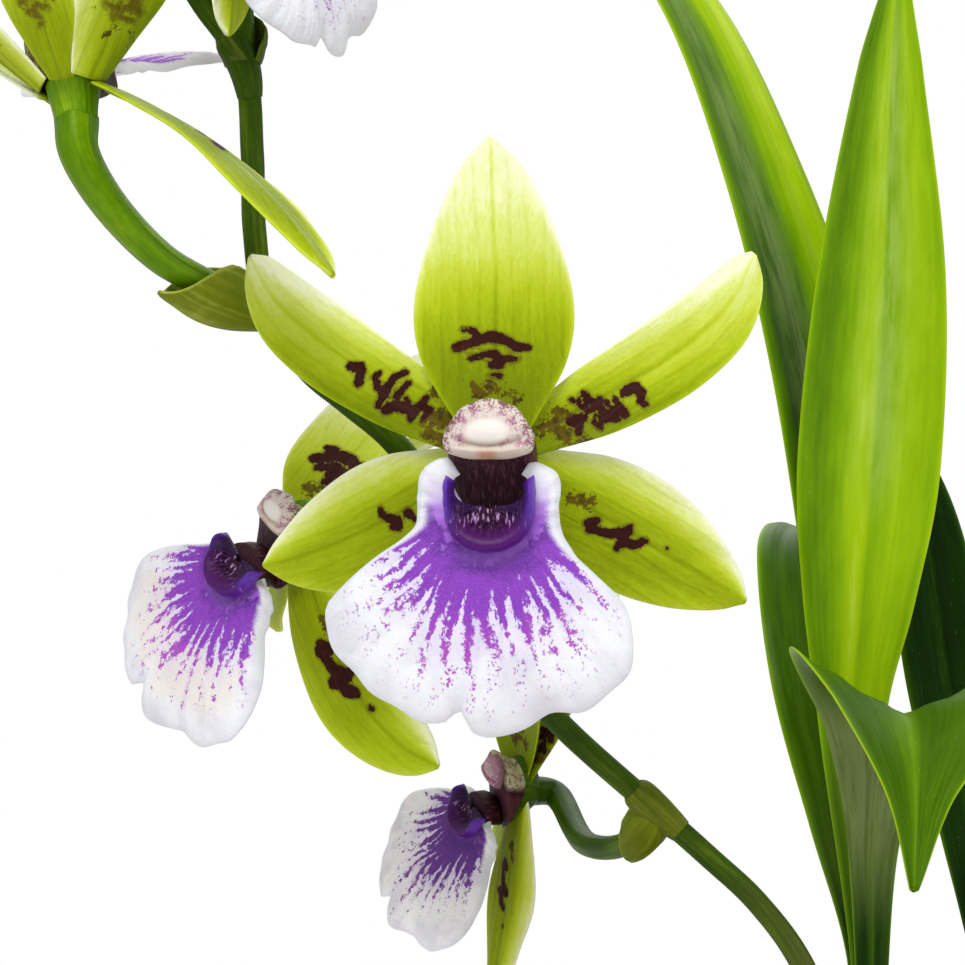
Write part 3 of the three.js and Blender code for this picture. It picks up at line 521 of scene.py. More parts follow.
STEM_FOOT = (92, 92, 44)
STALK_BRIGHT = ((72, 112, 1), (104, 146, 2), (150, 182, 30))
STALK_DEEP = ((40, 66, 2), (60, 92, 4), (98, 126, 24))
NODE_GREEN = ((72, 84, 6), (98, 110, 20), (136, 146, 50))
BRACT_OLIVE = ((96, 110, 6), (122, 136, 22), (176, 184, 76))
LEAF_TONES = [
    (0.0, (6, 26, 1)), (0.2, (26, 60, 1)), (0.42, (74, 112, 2)), (0.6, (108, 150, 1)),
    (0.76, (138, 177, 1)), (0.88, (158, 192, 6)), (1.0, (184, 208, 66)),
]
WAX = (132, 150, 90)
WAX_DARK = (84, 104, 34)
PAINTED_REFLECTION = (190, 208, 140)
LEAF_SPECK = (196, 206, 150)
BULB_TONES = [(0.3, (84, 108, 20)), (0.5, (122, 146, 34)), (0.7, (168, 176, 74))]
BULB_SCAR = (122, 96, 56)
SHEATH_TONES = [(0.36, (84, 100, 44)), (0.52, (116, 130, 72)), (0.68, (158, 160, 108))]
BARK_TONES = [
    (0.26, (40, 24, 14)), (0.42, (84, 54, 32)), (0.58, (126, 88, 54)), (0.8, (168, 130, 88)),
]
CLAY_TONES = [(0.3, (158, 84, 58)), (0.5, (188, 108, 76)), (0.7, (206, 134, 100))]
LIME_WHITE = (222, 200, 180)

# Linear colour of the floor
FLOOR_WHITE = (0.86, 0.86, 0.87, 1)

# Violet fan of a lip, and brown foot of the stem, in millimetres
FAN_MIDDLE = -7.0
FAN_SOLID = 10.8
FAN_END = 22.6
STREAKS_PER_RADIAN = 7.2
STEM_GREEN_FROM = 90.0
STEM_BROWN_TO = 60.0


# Shapes
def sample(rows, t):
    """Smooth values at t through (t, value) rows."""
    x, y = np.array(rows, float).T
    t = np.asarray(t, float)
    last = len(x) - 1
    before, after = np.maximum(np.arange(len(x)) - 1, 0), np.minimum(np.arange(len(x)) + 1, last)
    slope = (y[after] - y[before]) / (x[after] - x[before])
    k = np.clip(np.searchsorted(x, t) - 1, 0, last - 1)
    width = x[k + 1] - x[k]
    u = (t - x[k]) / width
    bulge = u * (1 - u) * ((1 - u) * slope[k] - u * slope[k + 1]) * width
    return y[k] + (y[k + 1] - y[k]) * u * u * (3 - 2 * u) + bulge


def spread(values):
    """Rows of (t, value) with t spread evenly from 0 to 1."""
    return [(k / (len(values) - 1), v) for k, v in enumerate(values)]


def columns_of(rows, t):
    """Each column of the rows as smooth values at t, spread evenly."""
    return [sample(spread(column), t)[:, None] for column in zip(*rows)]


def smooth(value, low, high):
    """0 at low and 1 at high, smooth between."""
    u = np.clip((value - low) / (high - low), 0, 1)
    return u * u * (3 - 2 * u)


def signed_power(value, exponent):
    return np.sign(value) * np.abs(value) ** exponent


def fields(*parts):
    """Three values for each point, from numbers and arrays that fit together."""
    return np.stack(np.broadcast_arrays(*parts), -1)


def unit(v):
    return v / np.linalg.norm(v, axis=-1, keepdims=True)


def run_along(points):
    """The length of a path up to each of its points."""
    return np.concatenate([[0], np.cumsum(np.linalg.norm(np.diff(points, axis=0), axis=1))])


def smooth_path(points, t):
    """Points at t on the centripetal curve through the given points."""
    p = np.array(points, float)
    p = np.vstack([2 * p[0] - p[1], p, 2 * p[-1] - p[-2]])
    spans = len(points) - 1
    place = np.clip(np.asarray(t) * spans, 0, spans)
    k = np.minimum(place.astype(int), spans - 1)
    u = (place - k)[:, None]
    gap = np.sqrt(np.linalg.norm(np.diff(p, axis=0), axis=1))[:, None]
    p0, p1, p2, p3 = p[k], p[k + 1], p[k + 2], p[k + 3]
    g0, g1, g2 = gap[k], gap[k + 1], gap[k + 2]
    m1 = g1 * ((p1 - p0) / g0 - (p2 - p0) / (g0 + g1) + (p2 - p1) / g1)
    m2 = g1 * ((p2 - p1) / g1 - (p3 - p1) / (g1 + g2) + (p3 - p2) / g2)
    return (
        p1 * (2 * u**3 - 3 * u**2 + 1) + m1 * (u**3 - 2 * u**2 + u)
        + p2 * (3 * u**2 - 2 * u**3) + m2 * (u**3 - u**2)
    )


def path_frames(points, t):
    """Points, tangents and two normals along a smooth path."""
    centre = smooth_path(points, t)
    ahead = smooth_path(points, np.minimum(t + PATH_STEP, 1))
    tangent = unit(ahead - smooth_path(points, np.maximum(t - PATH_STEP, 0)))
    normal = np.zeros_like(tangent)
    last = np.array([1.0, 0, 0])
    for i, direction in enumerate(tangent):
        last = last - direction * last.dot(direction)
        last /= np.linalg.norm(last)
        normal[i] = last
    return centre, tangent, normal, np.cross(tangent, normal)


def ring_angles(count):
    return np.arange(count) * 2 * math.pi / count


def rings_round(centre, first, second, radius, turn):
    """Rings round the points of a path, in the plane of two directions."""
    return (
        centre[:, None]
        + first[:, None] * (radius * np.cos(turn))[..., None]
        + second[:, None] * (radius * np.sin(turn))[..., None]
    )


def ellipse_rings(rows, steps, columns):
    """Rings of a round body from (z, half width, half height, middle) rows."""
    t = np.linspace(0, 1, steps)
    z, half_width, half_height, middle = columns_of(rows, t)
    turn = ring_angles(columns)
    return fields(half_width * np.cos(turn), middle + half_height * np.sin(turn), z), t, turn


def blade(spine, across, normal, reach, columns, thickness, offset):
    """Rings round a thin blade with rounded edges; offset(t, s) raises its surface."""
    turn = ring_angles(columns)
    s, side = np.cos(turn), signed_power(np.sin(turn), 0.5)
    t = np.linspace(0, 1, len(spine))[:, None]
    rise = offset(t, s[None, :]) + side[None, :] * thickness / 2
    spread_out = across[:, None] * (s * reach[:, None])[..., None]
    points = spine[:, None] + spread_out + normal[:, None] * rise[..., None]
    return points, *(np.broadcast_to(values, rise.shape) for values in (t, s, side))


def piece(name, points, surface, replaces, places=None):
    """A closed piece from rings of points (rows, columns, 3), with a vector per point for each place."""
    rows, columns = points.shape[:2]
    mesh = bpy.data.meshes.new(name)
    index = np.arange(rows * columns).reshape(rows, columns)
    a, b = index[:-1], index[1:]
    quads = np.stack([a, np.roll(a, -1, 1), np.roll(b, -1, 1), b], axis=-1).reshape(-1, 4)
    faces = quads.tolist() + [index[0][::-1].tolist(), index[-1].tolist()]
    mesh.from_pydata((points.reshape(-1, 3) * MM).tolist(), [], faces)
    for key, values in (places or {}).items():
        attribute = mesh.attributes.new(key, "FLOAT_VECTOR", "POINT")
        attribute.data.foreach_set("vector", np.ascontiguousarray(values, np.float32).ravel())
    work = bmesh.new()
    work.from_mesh(mesh)
    bmesh.ops.remove_doubles(work, verts=work.verts, dist=WELD_DISTANCE)
    bmesh.ops.recalc_face_normals(work, faces=work.faces)
    work.to_mesh(mesh)
    work.free()
    dress(name, mesh, surface, replaces)


def dress(name, mesh, surface, replaces):
    """Puts a mesh in the scene, riding on the root body in place of a node."""
    mesh.shade_smooth()
    mesh.materials.append(surface.material)
    made = bpy.data.objects.new(name, mesh)
    bpy.context.scene.collection.objects.link(made)
    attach(made, "root")
    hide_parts(replaces)


# Shaders
def operator(operation, swapped=False):
    """A method that adds a step of a formula to the node tree."""

    def method(self, other):
        pair = (other, self) if swapped else (self, other)
        return self.surface.math(operation, *pair)

    return method


class Value:
    """A number in a material's node tree that formulas can be written with."""

    def __init__(self, surface, socket):
        self.surface, self.socket = surface, socket

    def __abs__(self):
        return self.surface.math("ABSOLUTE", self)

    __add__ = operator("ADD")
    __radd__ = operator("ADD", swapped=True)
    __sub__ = operator("SUBTRACT")
    __rsub__ = operator("SUBTRACT", swapped=True)
    __mul__ = operator("MULTIPLY")
    __truediv__ = operator("DIVIDE")
    __pow__ = operator("POWER")


def screen_colour(values):
    """A linear colour from 0 to 255 screen values."""
    return (*((v / 255 / 12.92) if v <= 10 else ((v / 255 + 0.055) / 1.055) ** 2.4 for v in values), 1)


class Surface:
    """A material whose node tree is built by calls that return sockets, from screen colours."""

    def __init__(self, name, **settings):
        self.material = bpy.data.materials.new(name)
        self.material.use_nodes = True
        self.tree = self.material.node_tree
        self.shader = self.tree.nodes["Principled BSDF"]
        for key, value in settings.items():
            self.shader.inputs[key.replace("_", " ")].default_value = value

    def feed(self, target, source):
        if isinstance(source, Value):
            source = source.socket
        if isinstance(source, bpy.types.NodeSocket):
            self.tree.links.new(source, target)
        else:
            target.default_value = screen_colour(source) if target.type == "RGBA" else source

    def node(self, kind, inputs=(), **settings):
        made = self.tree.nodes.new("ShaderNode" + kind)
        for key, value in settings.items():
            setattr(made, key, value)
        for key, source in dict(inputs).items():
            self.feed(made.inputs[key], source)
        return made

    def math(self, operation, *numbers):
        return Value(self, self.node("Math", enumerate(numbers), operation=operation).outputs[0])

    def parts(self, name):
        """The three values of a mesh attribute."""
        attribute = self.node("Attribute", attribute_name=name).outputs["Vector"]
        return [Value(self, out) for out in self.node("SeparateXYZ", {0: attribute}).outputs]

    def vector(self, x, y, z):
        return self.node("CombineXYZ", {0: x, 1: y, 2: z}).outputs[0]

    def spot(self):
        """The place on the object, in millimetres."""
        place = self.node("TexCoord").outputs["Object"]
        return self.node("VectorMath", {0: place, 1: (1 / MM,) * 3}, operation="MULTIPLY").outputs[0]

    def noise(self, vector, scale, detail=2.0, roughness=0.5):
        settings = {"Vector": vector, "Scale": scale, "Detail": detail, "Roughness": roughness}
        return Value(self, self.node("TexNoise", settings).outputs[0])

    def grown(self, x, y, seed, detail=2.0, roughness=0.5):
        """Noise over places that are stretched already."""
        return self.noise(self.vector(x, y, seed), 1.0, detail, roughness)

    def cells(self, vector, scale):
        return Value(self, self.node("TexVoronoi", {"Vector": vector, "Scale": scale}).outputs["Distance"])

    def step(self, value, low, high):
        """0 at low and 1 at high, smooth between."""
        inputs = enumerate((value, low, high, 0.0, 1.0))
        return Value(self, self.node("MapRange", inputs, interpolation_type="SMOOTHSTEP").outputs[0])

    def ramp(self, value, stops):
        made = self.node("ValToRGB", {0: value})
        elements = made.color_ramp.elements
        while len(elements) < len(stops):
            elements.new(0.5)
        for element, (place, colour) in zip(elements, stops):
            element.position = place
            element.color = screen_colour(colour)
        return made.outputs[0]

    def mix(self, a, b, factor):
        return self.node("Mix", {0: factor, 6: a, 7: b}, data_type="RGBA").outputs[2]

    def bump(self, height, strength=1.0):
        """Relief of a height in millimetres."""
        made = self.node("Bump", {"Height": height, "Distance": MM, "Strength": strength})
        self.feed(self.shader.inputs["Normal"], made.outputs[0])

    def set(self, socket, source):
        self.feed(self.shader.inputs[socket], source)


def tepal_surface():
    """Green that pales to the tip and to the upper edge, partly as painted light from above, with brown
    marks on the face that show through on the back.
    """
    s = Surface(
        "tepal", Roughness=0.5, Specular_IOR_Level=0.07,
        Subsurface_Weight=0.2, Subsurface_Scale=MM, Subsurface_Radius=(0.8, 1.0, 0.2),
    )
    across, along, seed = s.parts("place")
    mark, smudge, tone = s.parts("tone")
    ghost, _, _ = s.parts("back")
    flat = s.vector(across, along, seed)
    streaks = s.grown(across * 1.9, along * 0.16, seed, 3, 0.6)
    clouds = s.noise(flat, 0.16, 3)
    wander = (s.grown(across * 0.3, along * 0.08, seed, 2) - 0.5) * 3.0
    veins = abs(s.math("COSINE", across * 1.5 + wander)) ** 14.0
    crease = s.math("EXPONENT", across * across * -9.0)
    net = s.cells(s.vector(across * 2.2, along * 0.9, seed), 1.0)
    grain = s.cells(flat, 3.2)
    tone = tone + (streaks - 0.5) * 0.2 + (clouds - 0.5) * 0.22
    tone = tone - veins * 0.05 - crease * 0.09 + (net - 0.4) * 0.08
    colour = s.ramp(tone + (grain - 0.4) * 0.05, TEPAL_TONES)
    fine = s.noise(flat, 2.2, 4, 0.65)
    rough = s.noise(flat, 0.9, 3, 0.6)
    freckles = s.step(fine + (rough - 0.5) * 0.9 - smudge * 0.3, 0.36, 0.46) * 0.85
    colour = s.mix(colour, s.mix(SMUDGE_BROWN, MARK_BROWN, s.step(rough, 0.5, 0.62)), freckles)
    behind = s.step(ghost + (fine - 0.5) * 1.4 + (rough - 0.5) * 1.6, 0.7, -0.4) * 0.8
    colour = s.mix(colour, s.mix(SMUDGE_BROWN, MARK_EDGE, s.step(rough, 0.44, 0.6)), behind)
    ragged = mark + ((fine - 0.5) * 0.62 + (rough - 0.5) * 0.4)
    marked = s.step(ragged, 0.06, -0.04)
    colour = s.mix(colour, MARK_EDGE, s.step(ragged, 0.42, 0.06) * 0.5)
    colour = s.mix(colour, s.mix(MARK_BROWN, MARK_EDGE, s.step(rough, 0.55, 0.75) * 0.5), marked)
    s.set("Base Color", colour)
    s.set("Roughness", 0.36 + grain * 0.25)
    s.bump(grain * -0.02 + streaks * 0.12 - veins * 0.05 + net * 0.05 - marked * 0.03, 0.8)
    return s


def lip_surface(name, cream=0.0, deep=0.0):
    """White with a fan of violet streaks below the callus, breaking up into specks."""
    s = Surface(name, Roughness=0.5, Specular_IOR_Level=0.15, Subsurface_Weight=0.25, Subsurface_Scale=MM)
    x, y, seed = s.parts("place")
    _, _, margin = s.parts("form")
    down = FAN_MIDDLE - y
    flat = s.vector(x, y, seed)
    reach = s.math("SQRT", x * x + down * down)
    angle = s.math("ARCTAN2", x, down)
    wide = abs(angle)
    lengths = s.grown(angle * 6.0, reach * 0.02, seed, 2, 0.7)
    wander = s.grown(angle * 4.5, reach * 0.12, seed + 5.0, 3)
    lines = s.math("COSINE", angle * (2 * math.pi * STREAKS_PER_RADIAN) + (wander - 0.5) * 15.0) * 0.5 + 0.5
    dashes = s.grown(angle * 20.0, reach * 0.85, seed + 3.0, 3, 0.7)
    fine = s.noise(flat, 3.2, 3, 0.75)
    patches = s.noise(flat, 0.5, 3, 0.6)

    # The fan is solid near the callus and breaks up towards its end
    solid = FAN_SOLID - wide * 1.5
    end = FAN_END - wide * 5.0
    fade = (reach - solid) / (end - solid) - (lengths - 0.5) * 1.2
    breaking = s.math("MAXIMUM", fade, 0.0)
    ragged = (dashes - 0.5) * (breaking * 4.2 + 1.3) + (fine - 0.5) * (breaking * 2.2 + 0.7)
    streaks = s.step(lines * 0.85 + ragged + 0.42 - fade * 1.5, 0.0, 0.3) * s.step(fade, 1.5, 1.1)
    rows = s.step(lines + (patches - 0.5) * 1.6, 0.25, 0.7)
    dots = s.step(s.cells(s.vector(x, y * 0.7, seed), 2.0), 0.34, 0.16) * rows
    dots = dots * s.step(fade, 2.0, 0.8) * s.step(fade, 0.0, 0.3) * (0.3 if cream or deep else 0.8)
    inside = s.step(margin + (fine - 0.5) * 1.6, 0.8, 2.4)
    fan = s.step(y + (wander - 0.5) * 4.0, -6.6, -9.6)
    violet = s.math("MAXIMUM", streaks * fan * inside, dots * inside)
    glow = s.step(fade, 1.15, 0.1) * 0.55 * fan
    wash = s.math("MAXIMUM", glow, s.step(reach, 10.5, 6.0) * s.step(y, -3.6, -8.5))

    hue = s.ramp((reach - 6.5) / 15.0 + (patches - 0.5) * 0.5, [
        (0.0, VIOLET_LIGHT), (0.06, VIOLET_DEEP), (0.24, VIOLET), (0.5, VIOLET), (0.75, VIOLET_PINK),
    ])
    below = s.step(wide, 0.75, 0.3) * s.step(reach, 8.6, 7.2)
    hue = s.mix(hue, VIOLET_MILKY, below * 0.7)
    hue = s.mix(hue, VIOLET_LIGHT, s.step(fine, 0.5, 0.68) * 0.5)
    if deep:
        hue = s.mix(hue, VIOLET_DARK, deep)
    # The deep lip's white is raised above the plain white as painted light against the shadow that the
    # front bloom casts on it
    bright = LIP_WHITE_PAINTED_LIGHT if deep else LIP_WHITE
    white = s.mix(bright, LIP_SHADE, s.step(s.noise(flat, 0.14, 3), 0.42, 0.66) * 0.7)
    if cream:
        pale = s.step(y + (s.noise(flat, 0.2, 3) - 0.5) * 16.0, -16.0, -22.0) * s.step(margin, 2.0, 7.0)
        white = s.mix(white, LIP_CREAM, pale * cream)
    colour = s.mix(white, LAVENDER, wash * inside * 0.85)
    # Painted shade, greyer towards the lip's edges
    colour = s.mix(colour, LIP_EDGE_SHADE, s.step(margin, 1.4, 0.2) * 0.5)
    s.set("Base Color", s.mix(colour, hue, violet * 0.96))
    grain = s.cells(flat, 3.4)
    ribs = s.grown(angle * 12.0, reach * 0.06, seed)
    s.set("Roughness", 0.4 + grain * 0.3)
    s.bump(ribs * s.step(reach, 5.0, 12.0) * 0.5 + grain * -0.03 + s.noise(flat, 0.5, 3) * 0.25, 0.8)
    return s


def callus_surface():
    """Deep violet, lighter on the arms, with a band of pale flecks in front of the column."""
    s = Surface("callus", Roughness=0.42, Specular_IOR_Level=0.22)
    x, y, seed = s.parts("place")
    turn, share, _ = s.parts("form")
    arms = s.step(abs(turn), 0.7, 1.4)
    fine = s.noise(s.vector(x, y, seed), 2.0, 3, 0.7)
    ripe = share + (fine - 0.5) * 0.12
    colour = s.mix(s.ramp(ripe, CALLUS_TONES), s.ramp(ripe, CALLUS_ARM_TONES), arms)
    dashes = s.grown(x * 3.0, y * 0.7, seed, 2, 0.5)
    level = y + (fine - 0.5) * 1.6
    band = s.step(level, -10.8, -9.6) * s.step(level, -6.6, -7.6)
    flecks = s.step(dashes, 0.57, 0.63) * band * s.step(arms, 0.9, 0.3)
    colour = s.mix(colour, FLECK_PINK, flecks * 0.8)
    glints = s.step(s.cells(s.vector(x, y, seed), 1.6), 0.16, 0.08) * s.step(fine, 0.5, 0.6)
    s.set("Base Color", s.mix(colour, GLINT_LILAC, glints * 0.5))
    s.bump(dashes * band * 0.5 + fine * 0.08, 0.8)
    return s


def column_surface():
    """Dark red lines on the face and a spotted cream back."""
    s = Surface("column", Roughness=0.42, Specular_IOR_Level=0.15)
    x, y, seed = s.parts("place")
    lines = s.grown(x * 3.6, y * 0.16, seed, 3, 0.65)
    colour = s.ramp(lines, COLUMN_TONES)
    colour = s.mix(colour, COLUMN_EDGE, s.step(abs(x), 4.2, 5.0) * s.step(y, -0.5, -1.5))
    fine = s.noise(s.vector(x, y, seed), 1.2, 3, 0.6)
    back = s.step(y + (fine - 0.5) * 2.0, -0.4, 1.0)
    pale = s.mix(COLUMN_CREAM, COLUMN_SPOT, s.step(fine, 0.5, 0.6) * 0.8)
    s.set("Base Color", s.mix(colour, pale, back))
    s.bump(lines * 0.3)
    return s


def cap_surface(name, purple=0.0):
    """White dome over a brownish lip, with fine purple speckles round the top and the sides."""
    s = Surface(name, Roughness=0.38, Specular_IOR_Level=0.2, Subsurface_Weight=0.2, Subsurface_Scale=MM)
    x, y, seed = s.parts("place")
    share, dome, groove = s.parts("form")
    flat = s.vector(x, y, seed)
    fine = s.noise(flat, 3.4, 4, 0.75)
    broad = s.noise(flat, 0.75, 3, 0.6)
    patchy = s.step(broad, 0.44, 0.64) * 0.15 + s.step(share, 0.7, 1.0) * 0.05 + purple * 0.2
    speckled = s.step(fine + patchy, 0.57, 0.63)
    zone = s.step(dome, 0.42, 0.2) * s.step(y + (broad - 0.5) * 1.4, -1.3, -0.1)
    sides = s.step(abs(x) + (broad - 0.5) * 2.0, 4.1, 4.8)
    spots = speckled * s.math("MINIMUM", s.math("MAXIMUM", zone, sides) + purple, 1.0)
    colour = s.mix(CAP_SHADE, CAP_WHITE, s.step(dome, 0.25, 0.6))
    colour = s.mix(colour, CAP_PINK, s.step(broad, 0.4, 0.6) * zone * 0.7)
    colour = s.mix(colour, CAP_BUFF, s.step(y, -0.9, -2.1) * 0.8)
    peach = s.step(abs(x), 1.7, 0.4) * s.step(y, -1.0, -1.7)
    colour = s.mix(colour, CAP_PEACH, peach * 0.75)
    # Painted shade in the groove under the dome
    colour = s.mix(colour, CAP_GROOVE_SHADE, groove * 0.5)
    hue = s.mix(CAP_SPECKLE, CAP_SPECKLE_DARK, s.step(share, 0.72, 0.98))
    s.set("Base Color", s.mix(colour, hue, spots * 0.85))
    s.bump(fine * 0.1)
    return s


def plant_surface(name, greens, roughness=0.45, foot=None):
    """Green tissue with fine streaks along a stem, browner near its foot where that has a colour."""
    s = Surface(name, Roughness=roughness, Specular_IOR_Level=0.1)
    around, along, seed = s.parts("place")
    streaks = s.grown(around * 1.6, along * 0.07, seed, 4, 0.6)
    broad = s.grown(around * 0.22, along * 0.08, seed + 3.0, 3)
    specks = s.cells(s.vector(around, along * 0.6, seed), 1.4)
    rim, inner, _ = s.parts("tone")
    tone = streaks * 0.45 + broad * 0.5 + (0.4 - specks) * 0.06 + inner * 0.12
    colour = s.ramp(tone, list(zip((0.32, 0.48, 0.66), greens)))
    if foot:
        brown = s.step(along + broad * 20.0, STEM_GREEN_FROM, STEM_BROWN_TO)
        colour = s.mix(colour, foot, brown * (0.4 + streaks * 0.5))
    s.set("Base Color", s.mix(colour, greens[-1], s.step(rim, 0.25, 0.7) * 0.8))
    s.set("Roughness", roughness + (streaks - 0.5) * 0.25)
    s.bump(streaks * 0.12 + specks * 0.02)
    return s


def leaf_surface():
    """Bands of green that are partly painted light and shade, with fine lines, a waxy foot and a pale
    painted reflection.
    """
    s = Surface("leaf", Roughness=0.42, Specular_IOR_Level=0.08)
    side, along, seed = s.parts("place")
    tone, wax, painted_reflection = s.parts("tone")
    lines = s.grown(side * 16.0, along * 0.012, seed, 3, 0.6)
    soft = s.grown(side * 3.0, along * 0.02, seed + 4.0, 2)
    mottle = s.grown(side * 5.0, along * 0.1, seed, 4, 0.6)
    rows = s.math("COSINE", side * 46.0) * 0.5 + 0.5
    tone = tone + (lines - 0.5) * 0.12 + (soft - 0.5) * 0.12 + (mottle - 0.5) * 0.26 + rows * 0.012
    colour = s.ramp(tone, LEAF_TONES)
    dull = s.mix(WAX, WAX_DARK, s.step(lines * 0.3 + mottle * 0.8, 0.46, 0.7) * 0.75)
    colour = s.mix(colour, dull, s.math("MINIMUM", wax + (mottle - 0.5) * wax * 0.8, 1.0))
    patchy = s.step(mottle + (soft - 0.5) * 0.5, 0.34, 0.62)
    # A painted reflection, pale in patches along the blade
    colour = s.mix(colour, PAINTED_REFLECTION, s.math("MINIMUM", painted_reflection * (patchy * 0.8 + lines * 0.5), 0.9))
    specks = s.step(s.cells(s.vector(side * 9.0, along * 0.9, seed), 1.0), 0.15, 0.1)
    colour = s.mix(colour, LEAF_SPECK, specks * s.step(mottle, 0.48, 0.6) * 0.12)
    s.set("Base Color", colour)
    s.set("Roughness", 0.32 + mottle * 0.16 + wax * 0.25)
    s.bump(lines * 0.07 + mottle * 0.12 + rows * 0.03, 0.7)
    return s


def bulb_surface():
    """Ribbed green flesh with brown scars."""
    s = Surface("bulb", Roughness=0.4, Specular_IOR_Level=0.25)
    around, along, seed = s.parts("place")
    rib = s.grown(around * 0.5, along * 0.03, seed, 3, 0.6)
    spots = s.cells(s.vector(around * 0.8, along * 0.8, seed), 1.0)
    tone = rib + (s.noise(s.vector(around, along, seed), 0.12, 3) - 0.5) * 0.5
    scar = s.step(s.grown(around * 0.4, along * 0.5, seed + 9.0, 4, 0.7), 0.6, 0.72)
    s.set("Base Color", s.mix(s.ramp(tone, BULB_TONES), BULB_SCAR, scar * 0.6))
    s.bump(rib * 0.5 + spots * 0.06 - scar * 0.1)
    return s


def sheath_surface():
    """Waxy fibrous skin of the leaf sheath."""
    s = Surface("sheath_grey", Roughness=0.7, Specular_IOR_Level=0.2)
    around, along, seed = s.parts("place")
    fibres = s.grown(around * 1.5, along * 0.06, seed, 5, 0.7)
    stains = s.grown(around * 0.2, along * 0.16, seed + 2.0, 4, 0.6)
    s.set("Base Color", s.ramp(fibres * 0.5 + stains * 0.55, SHEATH_TONES))
    s.bump(fibres * 0.35)
    return s


def bark_surface():
    """Brown chips, each with a tone of its own."""
    s = Surface("bark", Roughness=0.85, Specular_IOR_Level=0.1)
    kind, _, _ = s.parts("chip")
    place = s.spot()
    fibres = s.noise(place, 0.55, 5, 0.7)
    layers = s.noise(place, 0.16, 3, 0.6)
    pits = s.cells(place, 0.5)
    tone = fibres * 0.5 + layers * 0.3 + kind * 0.34 - s.step(pits, 0.18, 0.08) * 0.12
    s.set("Base Color", s.ramp(tone, BARK_TONES))
    s.bump(fibres * 0.6 + layers * 0.4 - pits * 0.2)
    return s


def clay_surface():
    """Fired clay with pale patches of lime."""
    s = Surface("clay", Roughness=0.85)
    spot = s.spot()
    broad = s.noise(spot, 0.03, 4)
    fine = s.noise(spot, 1.4, 4, 0.7)
    lime = s.step(s.noise(spot, 0.06, 5, 0.65), 0.56, 0.74)
    s.set("Base Color", s.mix(s.ramp(broad * 0.7 + fine * 0.3, CLAY_TONES), LIME_WHITE, lime * 0.45))
    s.bump(fine * 0.25 + s.cells(spot, 0.9) * 0.08)
    return s


# Blooms
def placed(points, form):
    """Points of a bloom's own frame, moved to its place on the plant."""
    a, b, c = (math.radians(form[key]) for key in ("yaw", "pitch", "roll"))
    face = np.array([-math.sin(a) * math.cos(b), -math.cos(a) * math.cos(b), math.sin(b)])
    level = np.array([math.cos(a), -math.sin(a), 0])
    upright = np.cross(face, level)
    right = level * math.cos(c) - upright * math.sin(c)
    top = upright * math.cos(c) + level * math.sin(c)
    return points @ (np.array([right, top, face]) * form["size"]) + np.array(form["centre"], float)


def bloom_piece(bloom, part, node, points, surface, places):
    """A piece of a bloom, from points in the bloom's own frame."""
    piece(f"{bloom}_{part}", placed(points, BLOOMS[bloom]), surface, f"{bloom}_bloom_{node}", places)


def tepal_spine(form, outset, t):
    """Spine points, across and normal directions and half width at t."""
    steps = np.linspace(0, 1, TEPAL_SPANS + 1)

    def directions(t):
        angle = np.radians(form["angle"] + form["turn"] * t**TURN_POWER)
        lift = np.radians(form["sweep"] + form["curl"] * t)
        along = np.stack([np.sin(angle) * np.cos(lift), np.cos(angle) * np.cos(lift), np.sin(lift)], -1)
        across = np.stack([np.cos(angle), -np.sin(angle), 0 * angle], -1)
        return along, across

    along, _ = directions(steps)
    outward = np.radians(form["angle"])
    start = np.array([*form["base"], 0]) + outset * np.array([math.sin(outward), math.cos(outward), 0])
    spots = start + np.vstack([np.zeros(3), np.cumsum(along[1:], axis=0)]) * form["length"] / TEPAL_SPANS
    spine = np.stack([sample(list(zip(steps, spots[:, k])), t) for k in range(3)], -1)
    along, across = directions(t)
    reach = form.get("broad", 1) * sample(form["rows"], t)
    return spine, across, np.cross(across, along), reach


def stroke_distance(strokes, x, y):
    """Distance in millimetres to the edge of the nearest stroke, negative inside it."""
    best = np.full(x.shape, NO_STROKE)
    for stroke in strokes:
        for (x0, y0, w0), (x1, y1, w1) in zip(stroke, stroke[1:]):
            dx, dy = x1 - x0, y1 - y0
            u = np.clip(((x - x0) * dx + (y - y0) * dy) / (dx * dx + dy * dy), 0, 1)
            best = np.minimum(best, np.hypot(x - x0 - u * dx, y - y0 - u * dy) - (w0 + (w1 - w0) * u))
    return best


def tepal_tone(key, t, up):
    """How pale a tepal is, from its base to its tip and up to its upper edge. Petals and sepals are paler
    above, and petals darker below, as painted light from above that is partly their own colour; the pale
    rims are their own.
    """
    rim = 0.3 * np.abs(up) ** 22
    if key == "dorsal":
        return sample(DORSAL_TONE, t) + 0.1 * np.abs(up) ** 4 + rim
    if key.startswith("petal"):
        return sample(PETAL_TONE, t) + 0.42 * smooth(up, 0.1, 1) - 0.26 * smooth(-up, 0.1, 1) + rim
    return sample(SEPAL_TONE, t) + 0.66 * smooth(up, 0.1, 0.95) + 0.14 * smooth(-up, 0.5, 1) + rim


